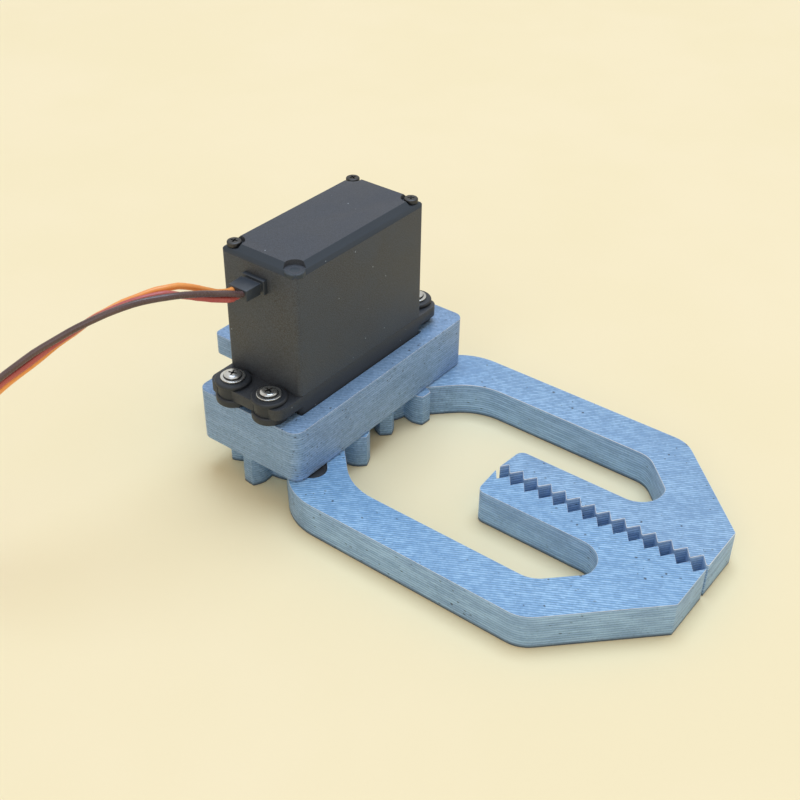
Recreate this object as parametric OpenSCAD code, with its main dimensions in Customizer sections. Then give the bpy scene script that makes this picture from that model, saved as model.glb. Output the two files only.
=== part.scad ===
// Servo driven two finger gripper: a hobby servo stands upside down in a printed bracket
// and turns two geared jaws below it.
// X points to the finger tips, Y from the driven jaw to the idler jaw, Z up.
// Origin: the middle of the two wrist holes, on the upper face of the bracket's tab.

/* [Bracket] */
// Width of the bracket block along X
bracket_w = 27.7; // [24:0.1:40]
// Height of the bracket block
bracket_h = 12.2; // [11:0.1:20]
// Bracket beyond the flange screws at the driven end
near_land = 2.1; // [2:0.1:12]
// Bracket beyond the flange screws at the idler end
far_land = 7.5; // [2:0.1:12]
// Radius of the bracket's upright corners
bracket_r = 2.5; // [0.5:0.5:6]
// Radial room of each pilot hole round its screw thread
pilot_clear = 0.03; // [0.01:0.01:0.2]

/* [Wrist tab] */
// Length of the tab behind the bracket
tab_l = 12.3; // [9:0.1:30]
// Width of the tab
tab_w = 25; // [22:0.5:34]
// Thickness of the tab
tab_t = 5; // [2:0.5:10]
// Radius of the tab's free corners
tab_r = 1.5; // [0.5:0.5:4]
// Diameter of the wrist holes
tab_hole_d = 3.4; // [2:0.1:5]
// Distance between the wrist holes
tab_hole_gap = 16; // [10:0.5:18]
// From the wrist holes to the tab's free edge
tab_edge = 7.2; // [3:0.1:8]

/* [Jaws] */
// Thickness of the jaws
jaw_t = 8; // [7:0.5:14]
// Gap between the bracket and the jaws
jaw_gap = 0.3; // [0.2:0.1:1]
// Distance from the jaw pivots to the finger tips
jaw_reach = 91.1; // [84:0.1:140]
// Distance from the middle plane to a jaw's outer edge
jaw_half = 33.3; // [31:0.1:45]
// Width of a jaw's arm
arm_w = 9.7; // [5:0.1:12]
// Width of a jaw's pad behind its teeth
pad_w = 8.3; // [6:0.1:12]
// Length of the pad's toothed edge
pad_l = 48.2; // [40:0.1:50]
// Half width of the blunt finger tip
tip_half = 12.5; // [8:0.5:20]
// Half of the gap between the closed pads
pad_gap = 0.55; // [0.1:0.05:0.8]
// Notches along each pad
notch_count = 14; // [6:1:20]
// Depth of the notches
notch_depth = 2.2; // [0.5:0.1:3]
// Flat left between two notches
notch_flat = 0.3; // [0.1:0.1:1]
// How much nearer to the pivot the idler pad's notches lie
notch_shift = 0.5; // [0:0.1:1]
// Slanted web, from the pivot to its outer edge
web_out = 3.9; // [3:0.1:8]
// Slanted web, from the pivot to its inner edge
web_in = 8.7; // [5:0.1:9]

/* [Jaw gears] */
// Module of the jaw gears
jaw_module = 3; // [2.8:0.1:3.1]
// Teeth on a full jaw gear
jaw_teeth = 9; // [8:1:10]
// Tooth height above the pitch circle
jaw_add = 2; // [1:0.1:2]
// Tooth depth below the pitch circle
jaw_ded = 3; // [2.5:0.1:3.5]
// Play between the jaw gears, as an angle per flank
jaw_play = 0.7; // [0.3:0.1:2]
// Angle of the first tooth of the driven jaw
drive_phase = 24; // [18:1:30]

/* [Servo case] */
// Length of the servo body
servo_l = 40.7; // [40:0.1:44]
// Width of the servo body
servo_w = 19.7; // [19.5:0.1:21]
// Height of the body above the flange
body_h = 29.2; // [27:0.1:36]
// Height of the bevelled cover
cover_h = 2; // [1.5:0.1:4]
// Bevel of the cover, inwards
cover_bevel = 1.2; // [0.3:0.1:2]
// Wall thickness of the cases
wall = 1.2; // [0.8:0.1:1.4]
// Radius of the body's upright corners
body_r = 1; // [0.3:0.1:1]
// Thickness of the flange
flange_t = 2.5; // [1.5:0.1:4]
// Length over the flanges
flange_l = 54.4; // [53:0.1:56]
// Radius of the flange's corners
flange_r = 2.4; // [0.5:0.1:2.6]
// Flange screw spacing along the body
hole_l = 49; // [48:0.1:50]
// Flange screw spacing across the body
hole_w = 10; // [8:0.1:11]
// Depth of the gear case below the flange
gear_case_h = 7.7; // [7.5:0.1:9]
// Height of the boss round the output shaft
boss_h = 1.8; // [1:0.1:2.5]
// Radius of the boss
boss_r = 6.4; // [6:0.1:6.5]
// From the body's end to the output shaft
shaft_inset = 10.2; // [9.8:0.1:11]
// Room round the servo in the bracket
pocket_clear = 0.2; // [0.1:0.1:0.6]
// Cover screw inset from the body's sides
cover_screw_inset = 1.95; // [1.9:0.05:2.1]
// Radius of the cover screw's shank
cover_screw_r = 0.95; // [0.7:0.05:1]
// Radius of the cover screw's head
cover_head_r = 1.5; // [1.4:0.1:1.8]
// Height of the cover screw's head
cover_head_h = 1.1; // [0.8:0.1:1.3]

/* [Servo drive] */
// Radius of the splined end of the output shaft
spline_r = 2.95; // [2.5:0.05:3]
// Length of the spline
spline_h = 4; // [3:0.1:4]
// Teeth on the spline
spline_teeth = 25; // [20:1:30]
// Radius of the steel pins and slim shafts
pin_r = 0.95; // [0.7:0.05:1]
// Radial clearance of every turning fit
run_clear = 0.05; // [0.02:0.01:0.08]
// Distance between the output shaft and the middle pin
train_c = 9.6; // [9.2:0.1:10]
// Teeth on the output gear
output_teeth = 22; // [20:1:26]
// Teeth on every brass pinion
pinion_teeth = 10; // [9:1:12]
// Teeth on the two middle wheels
wheel_teeth = 38; // [34:1:44]
// Teeth on the first wheel
first_teeth = 50; // [46:1:54]
// Module of the first mesh
first_module = 0.3; // [0.28:0.01:0.32]
// Thickness of the output gear
output_gear_h = 2.6; // [2:0.1:3]
// Thickness of the middle wheels
wheel_h = 1.1; // [0.8:0.1:1.2]
// Space between two gears that pass each other
gear_gap = 0.3; // [0.2:0.05:0.4]
// Radius of the motor can
motor_r = 7.7; // [7:0.1:8]
// Length of the motor can
motor_h = 19; // [15:0.5:20]

/* [Horn] */
// Distance from the shaft to the middle of the horn's round end
horn_l = 16.3; // [14:0.1:17]
// Radius of the horn's hub end
horn_hub_r = 5; // [4.5:0.1:6]
// Radius of the horn's round end
horn_end_r = 3; // [2.5:0.1:3.5]
// Thickness of the horn's arm
horn_t = 2; // [1.5:0.1:2.5]
// Angle of the horn from X, towards the arm
horn_angle = 40; // [35:1:45]
// Clearance of the horn in its recess
horn_clear = 0.12; // [0.05:0.01:0.3]

/* [Fasteners] */
// Thread radius of the flange screws
screw_r = 1.4; // [1.2:0.05:1.5]
// Length of the flange screws below their heads
screw_l = 13; // [10:0.5:15]
// Radius of the flange screws' washer heads
washer_head_r = 2.6; // [2:0.1:3]
// Radius of the grommet discs
grommet_r = 4; // [3.5:0.1:4.2]
// Thickness of the lower grommet disc
grommet_low = 1.8; // [1:0.1:2.5]
// Thickness of the upper grommet disc
grommet_up = 1; // [0.6:0.1:1.5]
// Radius of the grommet's neck in the flange slot
grommet_neck_r = 2.5; // [2.3:0.1:3]
// Wall of the brass eyelets
eyelet_wall = 0.3; // [0.2:0.05:0.4]
// Radius of the idler pivot bolt
bolt_r = 1.97; // [1.45:0.01:2]
// Height of the pivot bolt's head
bolt_head_h = 2.8; // [2:0.1:2.8]
// Width across the flats of the bolt head and nut
bolt_af = 7; // [6.5:0.1:7.5]
// Height of the pivot nut
nut_h = 3.2; // [2:0.1:3.2]
// Thickness of the pivot washer
pivot_washer_t = 0.8; // [0.5:0.1:1]
// Radius of the pivot washer
pivot_washer_r = 4.5; // [4.2:0.1:5]
// Thread radius of the horn's centre bolt
horn_bolt_r = 1.45; // [1.2:0.05:1.5]
// Thread radius of the small horn screws
horn_screw_r = 0.95; // [0.8:0.05:1]

/* [Lead] */
// Width of the three-wire lead
lead_w = 3.9; // [3:0.1:4.5]
// Thickness of the three-wire lead
lead_t = 1.6; // [1.2:0.1:2]
// Length of the plug
plug_l = 14; // [10:0.5:20]
// Width of the plug
plug_w = 7.8; // [6:0.1:9]
// Thickness of the plug
plug_t = 2.8; // [2.4:0.1:4]

/* [Hidden] */
$fn = 64;
eps = 0.01;
slack = 0.02;
end_room = 0.5;
inner_r = 0.3;
pressure = 20;
root_lap = 0.4;
// Proportions of the servo's small gears, in modules, and their play in degrees times teeth
gear_add = 0.8;
gear_ded = 1.1;
gear_play = 12;
plastic = "#3b3c3d";
print_blue = "#7f9bb3";
steel = "#c4c6c8";
brass = "#c9a85a";

// Plan of the axes
jaw_pitch_r = jaw_module * jaw_teeth / 2;
jaw_tip_r = jaw_pitch_r + jaw_add;
jaw_root_r = jaw_pitch_r - jaw_ded;
missing_teeth = 2;
idler_phase = -mesh_phase(drive_phase, jaw_teeth, jaw_teeth, 90) - 360 / jaw_teeth;
axis_x = tab_l - tab_edge + bracket_w / 2;
drive_y = -jaw_pitch_r;
idler_y = jaw_pitch_r;
end_y = drive_y - shaft_inset;
body_y = end_y + servo_l / 2;
hole_ys = [body_y - hole_l / 2, body_y + hole_l / 2];
hole_xs = [axis_x - hole_w / 2, axis_x + hole_w / 2];
bracket_y0 = hole_ys[0] - near_land;
bracket_y1 = hole_ys[1] + far_land;
bracket_x0 = axis_x - bracket_w / 2;

// Levels
flange_z = grommet_low;
seam_z = flange_z + flange_t;
top_z = seam_z + body_h;
cover_z = top_z - cover_h;
case_z = flange_z - gear_case_h;
boss_z = case_z - boss_h;
spline_z = boss_z - spline_h;
pocket_z = case_z - pocket_clear;
jaw_z1 = -bracket_h - jaw_gap;
jaw_z0 = jaw_z1 - jaw_t;
deck_z = seam_z + wall;
motor_z = deck_z + slack;
motor_boss_r = 3 * pin_r;
motor_hole_r = 2 * pin_r + gear_gap;
pin_boss_r = 2 * pin_r;

// Gear train: the output shaft, the middle pin and the motor stand in one row
pin_y = drive_y + train_c;
output_module = 2 * train_c / (output_teeth + pinion_teeth);
wheel_module = 2 * train_c / (wheel_teeth + pinion_teeth);
motor_y = pin_y + first_module * (first_teeth + pinion_teeth) / 2;
out_z0 = case_z + wall + gear_gap;
out_z1 = out_z0 + output_gear_h;
third_z1 = out_z1 + gear_gap + wheel_h;
second_z1 = third_z1 + gear_gap + wheel_h;
first_z1 = second_z1 + gear_gap + wheel_h;
gear_3_phase = mesh_phase(0, output_teeth, pinion_teeth, 90);
gear_2_phase = mesh_phase(gear_3_phase, wheel_teeth, pinion_teeth, -90);
gear_1_phase = mesh_phase(gear_2_phase, wheel_teeth, pinion_teeth, 90);
motor_phase = mesh_phase(gear_1_phase, first_teeth, pinion_teeth, 90);

// Fillets and small offsets of a jaw's outline
web_fillet = 14;
nose_fillet = 7;
tip_r = 0.6;
pad_lean = 0.6;
pad_fillet = 1.8;
slot_fillet = 5.5;
slot_r = 3;
slot_step = 3.2;
arm_fillet = 6;
web_lap = 1;

// Horn, its bolt and its screws
horn_z0 = jaw_z1 - horn_t;
horn_z1 = boss_z - gear_gap;
horn_hole_shares = [0.62, 0.9];
horn_holes = [for (s = horn_hole_shares) s * horn_l];
horn_web_z = spline_z - 2 * slack;
horn_wall = 1.6;
horn_head_h = 1.9;
horn_head_r = 2.7;
access_r = horn_head_r + end_room;
small_head_r = 1.8;
small_head_h = 1.3;
small_sink = 2.4;
small_head_gap = 0.2;

// Idler pivot
bolt_head_z = pocket_z - slack;
nut_sink_r = pivot_washer_r + end_room;
nut_z0 = jaw_z0 + jaw_gap;
nut_z1 = nut_z0 + nut_h;
pivot_washer_z1 = nut_z1 + pivot_washer_t;
nut_sink_z = pivot_washer_z1 + jaw_gap;

// Servo flange, cover screws and bearing
cover_screw_x = servo_w / 2 - cover_screw_inset;
cover_screw_y = servo_l / 2 - cover_screw_inset;
scallop_gap = 0.7;
scallop_r = cover_head_r + scallop_gap;
scallop_z = top_z - cover_head_h;
cover_screw_z0 = flange_z;
bearing_out_r = boss_r - wall;
bearing_in_r = spline_r + slack;
sensor_w = 9;
sensor_h = 4.5;
board_l = 26;
board_t = 1;
board_z = top_z - wall - board_t - slack;
// Place, width, length and height of each chip on the board
chips = [[0, -9, 6, 5, 1.2], [0, 0, 7, 7, 1], [-3, 9, 3, 5, 1.4], [4, 9, 3, 5, 1.4]];
pin_pitch = 2.54;
pin_slot = 1.4;
contact_l = 0.7 * plug_l;
contact_sink = 1;
bearing_h = 2.5;
spline_depth = 0.25;
bearing_z0 = boss_z + wall / 3;
ball_r = 0.5;
ball_count = 9;
grommet_hole_r = 1.95;
flange_slot_w = 1.6 * grommet_neck_r;
washer_head_h = 0.5;
dome_h = 0.7;
dome_r = 0.72 * washer_head_r;
cross_share = 0.65;
head_z = seam_z + grommet_up;

// Strain relief and lead
relief_w = 5;
relief_t = 2.5;
relief_l = 5.3;
relief_x = axis_x - 0.6;
relief_neck_l = wall + 1;
relief_groove = 0.2;
groove_pitch = 1.32;
relief_rise = 23.2;
relief_z = seam_z + relief_rise;
collar_w = 5.8;
collar_t = 3.2;
collar_l = 1;
floor_z = jaw_z0;
rest_z = floor_z + 2.5 * lead_t;
// Chosen points of the lead, from the strain relief to the coil on the surface
lead_points = [[18.4, -29, 27.5], [18.2, -33, 29.1], [17.3, -38.5, 31.2], [15.3, -44, 32.7],
    [12.2, -49.5, 32.5], [8.7, -55, 30.8], [5, -60.5, 28], [1.2, -66, 24], [-2.8, -71.5, 19],
    [-7, -77, 12.8], [-10.2, -81.3, 5.8], [-12.8, -84.8, -1.4], [-14.6, -87.1, -6.8],
    [-16, -89, -11.9], [-17.2, -90.6, -14.2], [-19, -92.9, -16], [-21, -95.7, rest_z],
    [-22.9, -98.3, rest_z]];
coil_r = 19.5;
coil_heading = -126;
coil_turn_h = 2 * lead_t;
lead_end = lead_points[len(lead_points) - 1];
coil_x = lead_end[0] + coil_r * sin(coil_heading);
coil_y = lead_end[1] - coil_r * cos(coil_heading);
tail_angle = 180;
tail_l = 24;
tail_start = 5;

// Involute of a gear, as the angle between the flank and the tooth's start on the base circle
function inv(a) = tan(a) * 180 / PI - a;
function half_tooth(r, n, pitch_r, play) =
    let (base_r = pitch_r * cos(pressure), a = r > base_r ? acos(base_r / r) : 0)
    90 / n - play + inv(pressure) - inv(a);
function polar(r, a) = [r * cos(a), r * sin(a)];
function flank_radii(pitch_r, tip_r, steps) =
    let (base_r = pitch_r * cos(pressure))
    [for (i = [0:steps]) base_r + (tip_r - base_r) * i / steps];
function tooth_points(n, pitch_r, tip_r, root_r, play, steps) =
    let (rs = flank_radii(pitch_r, tip_r, steps), foot = half_tooth(0, n, pitch_r, play))
    concat([polar(root_r - root_lap, -foot)],
        [for (r = rs) polar(r, -half_tooth(r, n, pitch_r, play))],
        [polar(tip_r, 0)],
        [for (i = [steps:-1:0]) polar(rs[i], half_tooth(rs[i], n, pitch_r, play))],
        [polar(root_r - root_lap, foot)]);
// Angle of a gear's first tooth, so that it meshes with a neighbour along the angle phi
function mesh_phase(phase, n, mate_n, phi) =
    phi + 180 - (360 / mate_n) * (0.5 - (phi - phase) * n / 360);

// Corners given as [x, y, radius] become an outline with round corners
function unit(v) = v / norm(v);
function corner(a, b, c, r) =
    let (p = [b[0], b[1]], u = unit([a[0], a[1]] - p), v = unit([c[0], c[1]] - p),
        half = acos(u * v) / 2, back = r / tan(half), mid = p + unit(u + v) * (r / sin(half)),
        s = p + u * back, e = p + v * back,
        a0 = atan2(s[1] - mid[1], s[0] - mid[0]), a1 = atan2(e[1] - mid[1], e[0] - mid[0]),
        turn = a1 - a0 > 180 ? a1 - a0 - 360 : a1 - a0 < -180 ? a1 - a0 + 360 : a1 - a0,
        n = max(2, ceil(abs(turn) / 6)))
    r <= 0 ? [p] : [for (i = [0:n]) mid + polar(r, a0 + turn * i / n)];
function rounded(pts) =
    let (n = len(pts))
    [for (i = [0:n - 1]) each corner(pts[(i + n - 1) % n], pts[i], pts[(i + 1) % n], pts[i][2])];

module round_rect(w, l, r) {
    square([w - 2 * r, l], center = true);
    square([w, l - 2 * r], center = true);
    for (x = [-1, 1], y = [-1, 1])
        translate([x * (w / 2 - r), y * (l / 2 - r)])
            circle(r);
}

module block(w, l, r, z0, z1) {
    translate([axis_x, body_y, z0])
        linear_extrude(z1 - z0)
            round_rect(w, l, r);
}

module rod(x, y, z0, z1, r) {
    translate([x, y, z0])
        cylinder(h = z1 - z0, r = r);
}

module at_flange_holes() {
    for (x = hole_xs, y = hole_ys)
        translate([x, y, 0])
            children();
}

module at_cover_screws() {
    for (sx = [-1, 1], sy = [-1, 1])
        translate([axis_x + sx * cover_screw_x, body_y + sy * cover_screw_y, 0])
            children();
}

module bracket() {
    color(print_blue)
        difference() {
            union() {
                translate([axis_x, (bracket_y0 + bracket_y1) / 2, -bracket_h])
                    linear_extrude(bracket_h)
                        round_rect(bracket_w, bracket_y1 - bracket_y0, bracket_r);
                translate([0, 0, -tab_t])
                    linear_extrude(tab_t)
                        tab_outline();
            }
            block(servo_w + 2 * pocket_clear, servo_l + 2 * pocket_clear, inner_r, pocket_z, eps);
            rod(axis_x, drive_y, -bracket_h - eps, 0, boss_r + pocket_clear);
            rod(axis_x, idler_y, -bracket_h - eps, 0, bolt_r + slack);
            translate([axis_x, idler_y, bolt_head_z - bolt_head_h - slack])
                cylinder(h = bracket_h, r = (bolt_af / 2 + slack) / cos(30), $fn = 6);
            at_flange_holes()
                translate([0, 0, head_z - screw_l - end_room])
                    cylinder(h = screw_l, r = screw_r + pilot_clear);
            for (y = [-tab_hole_gap / 2, tab_hole_gap / 2])
                rod(0, y, -tab_t - eps, eps, tab_hole_d / 2);
        }
}

module tab_outline() {
    difference() {
        translate([-tab_edge, -tab_w / 2])
            square([tab_l + wall, tab_w]);
        for (s = [-1, 1])
            translate([-tab_edge, s * tab_w / 2])
                difference() {
                    square(2 * tab_r, center = true);
                    translate([tab_r, -s * tab_r])
                        circle(tab_r);
                }
    }
}

module jaw_arm(shift) {
    outer = web_out * sqrt(2);
    inner = web_in * sqrt(2);
    nose = jaw_half - tip_half;
    slot_x = jaw_reach + tip_half - arm_w * sqrt(2) - (jaw_half - arm_w);
    slot_nose = tip_half + slot_step;
    slot_end = jaw_reach + tip_half - arm_w * sqrt(2) - slot_nose;
    pitch = pad_l / notch_count;
    notch_half = (pitch - notch_flat) / 2;
    pad_x = jaw_reach - pad_l;
    first_x = pad_x + pitch / 2 - shift;
    teeth = [for (i = [notch_count - 1:-1:1]) each [
        [first_x + pitch * i + notch_half, pad_gap, 0],
        [first_x + pitch * i, pad_gap + notch_depth, 0],
        [first_x + pitch * i - notch_half, pad_gap, 0]]];
    // The first notch may run out through the pad's end
    cut = pad_x + notch_half - first_x;
    pad_end = cut > 0 ? [[pad_x, pad_gap + cut * notch_depth / notch_half, 0]]
        : [[first_x - notch_half, pad_gap, 0], [pad_x, pad_gap, 0]];
    polygon(rounded(concat([
        [-outer / 2, jaw_pitch_r + outer / 2, 0],
        [jaw_half - jaw_pitch_r - outer, jaw_half, web_fillet],
        [jaw_reach - nose, jaw_half, nose_fillet],
        [jaw_reach, tip_half, tip_r],
        [jaw_reach, pad_gap, 0]],
        teeth,
        [[first_x + notch_half, pad_gap, 0],
        [first_x, pad_gap + notch_depth, 0]],
        pad_end,
        [[pad_x + pad_lean, pad_w, pad_fillet],
        [slot_end, pad_w, slot_fillet],
        [slot_end, slot_nose, slot_r],
        [slot_x, jaw_half - arm_w, arm_fillet],
        [jaw_half - arm_w - jaw_pitch_r + inner, jaw_half - arm_w, web_fillet],
        [inner / 2 + web_lap, jaw_pitch_r - inner / 2 + web_lap, 0]])));
}

module jaw_gear(phase, missing) {
    circle(jaw_root_r);
    for (k = [0:jaw_teeth - 1 - missing])
        rotate(phase + 360 * k / jaw_teeth)
            polygon(tooth_points(jaw_teeth, jaw_pitch_r, jaw_tip_r, jaw_root_r, jaw_play, 5));
}

module horn_outline(grow) {
    lean = asin((horn_hub_r - horn_end_r) / horn_l);
    hub = horn_hub_r + grow;
    tip = horn_end_r + grow;
    circle(hub);
    translate([horn_l, 0])
        circle(tip);
    polygon([polar(hub - slack, 90 - lean), polar(hub - slack, lean - 90),
        [horn_l, 0] + polar(tip - slack, lean - 90), [horn_l, 0] + polar(tip - slack, 90 - lean)]);
}

module at_horn() {
    translate([axis_x, drive_y, 0])
        rotate(-horn_angle)
            children();
}

module jaw(phase, shift) {
    translate([axis_x, 0, jaw_z0])
        linear_extrude(jaw_t) {
            mirror([0, 1])
                jaw_arm(shift);
            translate([0, drive_y])
                jaw_gear(phase, missing_teeth);
        }
}

module drive_jaw() {
    color(print_blue)
        difference() {
            jaw(drive_phase, 0);
            at_horn()
                translate([0, 0, horn_z0 - slack])
                    linear_extrude(horn_t + wall)
                        horn_outline(horn_clear);
            rod(axis_x, drive_y, jaw_z0 - eps, jaw_z1, access_r);
            at_horn()
                for (r = horn_holes) {
                    rod(r, 0, jaw_z0 - eps, jaw_z1, horn_screw_r + slack);
                    rod(r, 0, jaw_z0 - eps, jaw_z0 + small_sink, small_head_r + small_head_gap);
                }
        }
}

module idler_jaw() {
    color(print_blue)
        difference() {
            mirror([0, 1, 0])
                jaw(idler_phase, notch_shift);
            rod(axis_x, idler_y, jaw_z0 - eps, jaw_z1 + eps, bolt_r + run_clear);
            rod(axis_x, idler_y, jaw_z0 - eps, nut_sink_z, nut_sink_r);
        }
}

module gear_case() {
    color(plastic)
        difference() {
            union() {
                block(servo_w, servo_l, body_r, case_z, seam_z);
                translate([axis_x, body_y, flange_z])
                    linear_extrude(flange_t)
                        round_rect(servo_w, flange_l, flange_r);
                rod(axis_x, drive_y, boss_z, case_z + eps, boss_r);
            }
            difference() {
                block(servo_w - 2 * wall, servo_l - 2 * wall, inner_r, case_z + wall, seam_z + eps);
                rod(axis_x, pin_y, case_z, case_z + wall + gear_gap / 2, pin_boss_r);
                at_cover_screws()
                    translate([0, 0, case_z])
                        cylinder(h = seam_z - case_z, r = cover_screw_r + wall);
            }
            rod(axis_x, pin_y, case_z + wall / 2, seam_z, pin_r + slack);
            rod(axis_x, drive_y, boss_z - eps, seam_z, spline_r + run_clear);
            rod(axis_x, drive_y, bearing_z0, case_z + wall + eps, bearing_out_r + slack);
            at_cover_screws()
                translate([0, 0, cover_screw_z0 - slack])
                    cylinder(h = seam_z, r = cover_screw_r + slack);
            for (x = hole_xs, s = [-1, 1])
                translate([x, body_y + s * hole_l / 2, flange_z - eps]) {
                    cylinder(h = flange_t + 2 * eps, r = grommet_neck_r + slack);
                    translate([-flange_slot_w / 2, s > 0 ? 0 : -grommet_r])
                        cube([flange_slot_w, grommet_r, flange_t + 2 * eps]);
                }
        }
}

module mid_case() {
    color(plastic)
        difference() {
            block(servo_w, servo_l, body_r, seam_z, cover_z);
            difference() {
                block(servo_w - 2 * wall, servo_l - 2 * wall, inner_r, deck_z, cover_z + eps);
                at_cover_screws()
                    translate([0, 0, seam_z])
                        cylinder(h = body_h, r = cover_screw_r + wall);
            }
            at_cover_screws()
                translate([0, 0, seam_z - eps])
                    cylinder(h = body_h, r = cover_screw_r + slack);
            rod(axis_x, drive_y, seam_z - eps, deck_z + eps, pin_r + run_clear);
            rod(axis_x, pin_y, seam_z - eps, seam_z + wall / 2, pin_r + slack);
            rod(axis_x, motor_y, seam_z - eps, deck_z + eps, motor_hole_r);
            relief_neck(slack, 2 * wall);
        }
}

module base_cover() {
    inset = cover_bevel;
    color(plastic)
        difference() {
            intersection() {
                translate([axis_x - servo_w / 2, body_y, cover_z])
                    rotate([90, 0, 90])
                        linear_extrude(servo_w)
                            cover_profile(servo_l, inset);
                translate([axis_x, body_y + servo_l / 2, cover_z])
                    rotate([90, 0, 0])
                        linear_extrude(servo_l)
                            cover_profile(servo_w, inset);
                block(servo_w, servo_l, body_r, cover_z, top_z);
            }
            difference() {
                block(servo_w - 3 * wall, servo_l - 3 * wall, inner_r, cover_z - eps, top_z - wall);
                at_cover_screws()
                    translate([0, 0, cover_z])
                        cylinder(h = cover_h, r = scallop_r + wall / 2);
            }
            at_cover_screws() {
                translate([0, 0, scallop_z])
                    cylinder(h = cover_h, r = scallop_r);
                translate([0, 0, cover_z - eps])
                    cylinder(h = cover_h, r = cover_screw_r + slack);
            }
        }
}

module cover_profile(l, inset) {
    polygon([[-l / 2, 0], [l / 2, 0], [l / 2 - inset, cover_h], [inset - l / 2, cover_h]]);
}

module cross_recess(r, depth, z) {
    for (a = [0, 90])
        rotate(a)
            translate([-r, -r / 6, z - depth])
                cube([2 * r, r / 3, depth + eps]);
}

module cover_screws() {
    color(plastic)
        at_cover_screws()
            difference() {
                union() {
                    translate([0, 0, cover_screw_z0])
                        cylinder(h = scallop_z - cover_screw_z0 + eps, r = cover_screw_r);
                    translate([0, 0, scallop_z])
                        cylinder(h = cover_head_h, r = cover_head_r);
                }
                cross_recess(cross_share * cover_head_r, cross_share * cover_head_h,
                    scallop_z + cover_head_h);
            }
}

module motor() {
    color(steel)
        difference() {
            union() {
                rod(axis_x, motor_y, motor_z, motor_z + motor_h, motor_r);
                rod(axis_x, motor_y, motor_z + motor_h, motor_z + motor_h + wall, motor_boss_r);
            }
            rod(axis_x, motor_y, motor_z - eps, motor_z + motor_h, pin_r + run_clear);
        }
}

module gear(x, y, z0, z1, n, m, phase, bore) {
    r = n * m / 2;
    translate([x, y, z0])
        rotate(phase)
            linear_extrude(z1 - z0)
                difference() {
                    union() {
                        circle(r - gear_ded * m);
                        for (k = [0:n - 1])
                            rotate(360 * k / n)
                                polygon(tooth_points(n, r, r + gear_add * m, r - gear_ded * m, gear_play / n, 2));
                    }
                    circle(bore);
                }
}

module motor_shaft() {
    color(steel)
        rod(axis_x, motor_y, second_z1 + gear_gap / 2, motor_z + motor_h - wall, pin_r);
    color(brass)
        gear(axis_x, motor_y, second_z1 + gear_gap / 2, seam_z + wall, pinion_teeth, first_module,
            motor_phase, pin_r - slack);
}

module compound(x, y, z0, z1, z2, m_pinion, n_wheel, m_wheel, phase) {
    color(brass) {
        gear(x, y, z0, z1 + eps, pinion_teeth, m_pinion, phase, pin_r + run_clear);
        gear(x, y, z1, z2, n_wheel, m_wheel, phase, pin_r + run_clear);
    }
}

module gear_1() {
    compound(axis_x, pin_y, third_z1 + gear_gap, first_z1 - wheel_h, first_z1, wheel_module,
        first_teeth, first_module, gear_1_phase);
}

module gear_2() {
    compound(axis_x, drive_y, out_z1 + gear_gap, second_z1 - wheel_h, second_z1, wheel_module,
        wheel_teeth, wheel_module, gear_2_phase);
}

module gear_3() {
    compound(axis_x, pin_y, out_z0, third_z1 - wheel_h, third_z1, output_module,
        wheel_teeth, wheel_module, gear_3_phase);
}

module middle_pin() {
    color(steel)
        rod(axis_x, pin_y, case_z + wall / 2 + slack, seam_z + wall / 2 - slack, pin_r);
}

module output_shaft() {
    color(brass) {
        difference() {
            union() {
                rod(axis_x, drive_y, boss_z, out_z0 + eps, spline_r);
                translate([axis_x, drive_y, spline_z])
                    linear_extrude(spline_h + eps)
                        spline_outline();
                gear(axis_x, drive_y, out_z0, out_z1, output_teeth, output_module, 0, pin_r / 2);
                rod(axis_x, drive_y, out_z0, deck_z + sensor_h, pin_r);
            }
            rod(axis_x, drive_y, spline_z - eps, case_z, horn_bolt_r + slack);
        }
    }
}

module spline_outline() {
    polygon([for (k = [0:2 * spline_teeth - 1])
        polar(spline_r - slack - (k % 2) * spline_depth, 180 * k / spline_teeth)]);
}

module output_bearing() {
    race = (bearing_out_r - bearing_in_r) / 3;
    mid = (bearing_out_r + bearing_in_r) / 2;
    color(steel) {
        ring(bearing_out_r, bearing_out_r - race);
        ring(bearing_in_r + race, bearing_in_r);
        for (k = [0:ball_count - 1])
            translate([axis_x, drive_y, bearing_z0 + bearing_h / 2])
                rotate(360 * k / ball_count)
                    translate([mid, 0, 0])
                        sphere(r = min(ball_r, race / 2 - slack));
    }
}

module ring(r_out, r_in) {
    difference() {
        rod(axis_x, drive_y, bearing_z0, bearing_z0 + bearing_h, r_out);
        rod(axis_x, drive_y, bearing_z0 - eps, bearing_z0 + bearing_h + eps, r_in);
    }
}

module potentiometer() {
    color("#4f7a52")
        difference() {
            translate([axis_x - sensor_w / 2, drive_y - sensor_w / 2, deck_z])
                cube([sensor_w, sensor_w, sensor_h]);
            rod(axis_x, drive_y, deck_z - eps, deck_z + sensor_h + eps, pin_r + run_clear);
        }
}

module control_board() {
    color("#2f6b45")
        block(servo_w - 3 * wall, board_l, inner_r, board_z, board_z + board_t);
}

module board_chips() {
    color("#26272a")
        for (c = chips)
            translate([axis_x + c[0] - c[2] / 2, body_y + c[1] - c[3] / 2, board_z - c[4]])
                cube([c[2], c[3], c[4]]);
}

module relief_neck(grow, depth) {
    translate([relief_x - relief_w / 2 - grow, end_y - eps, relief_z - relief_t / 2 - grow])
        cube([relief_w + 2 * grow, depth, relief_t + 2 * grow]);
}

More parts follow.
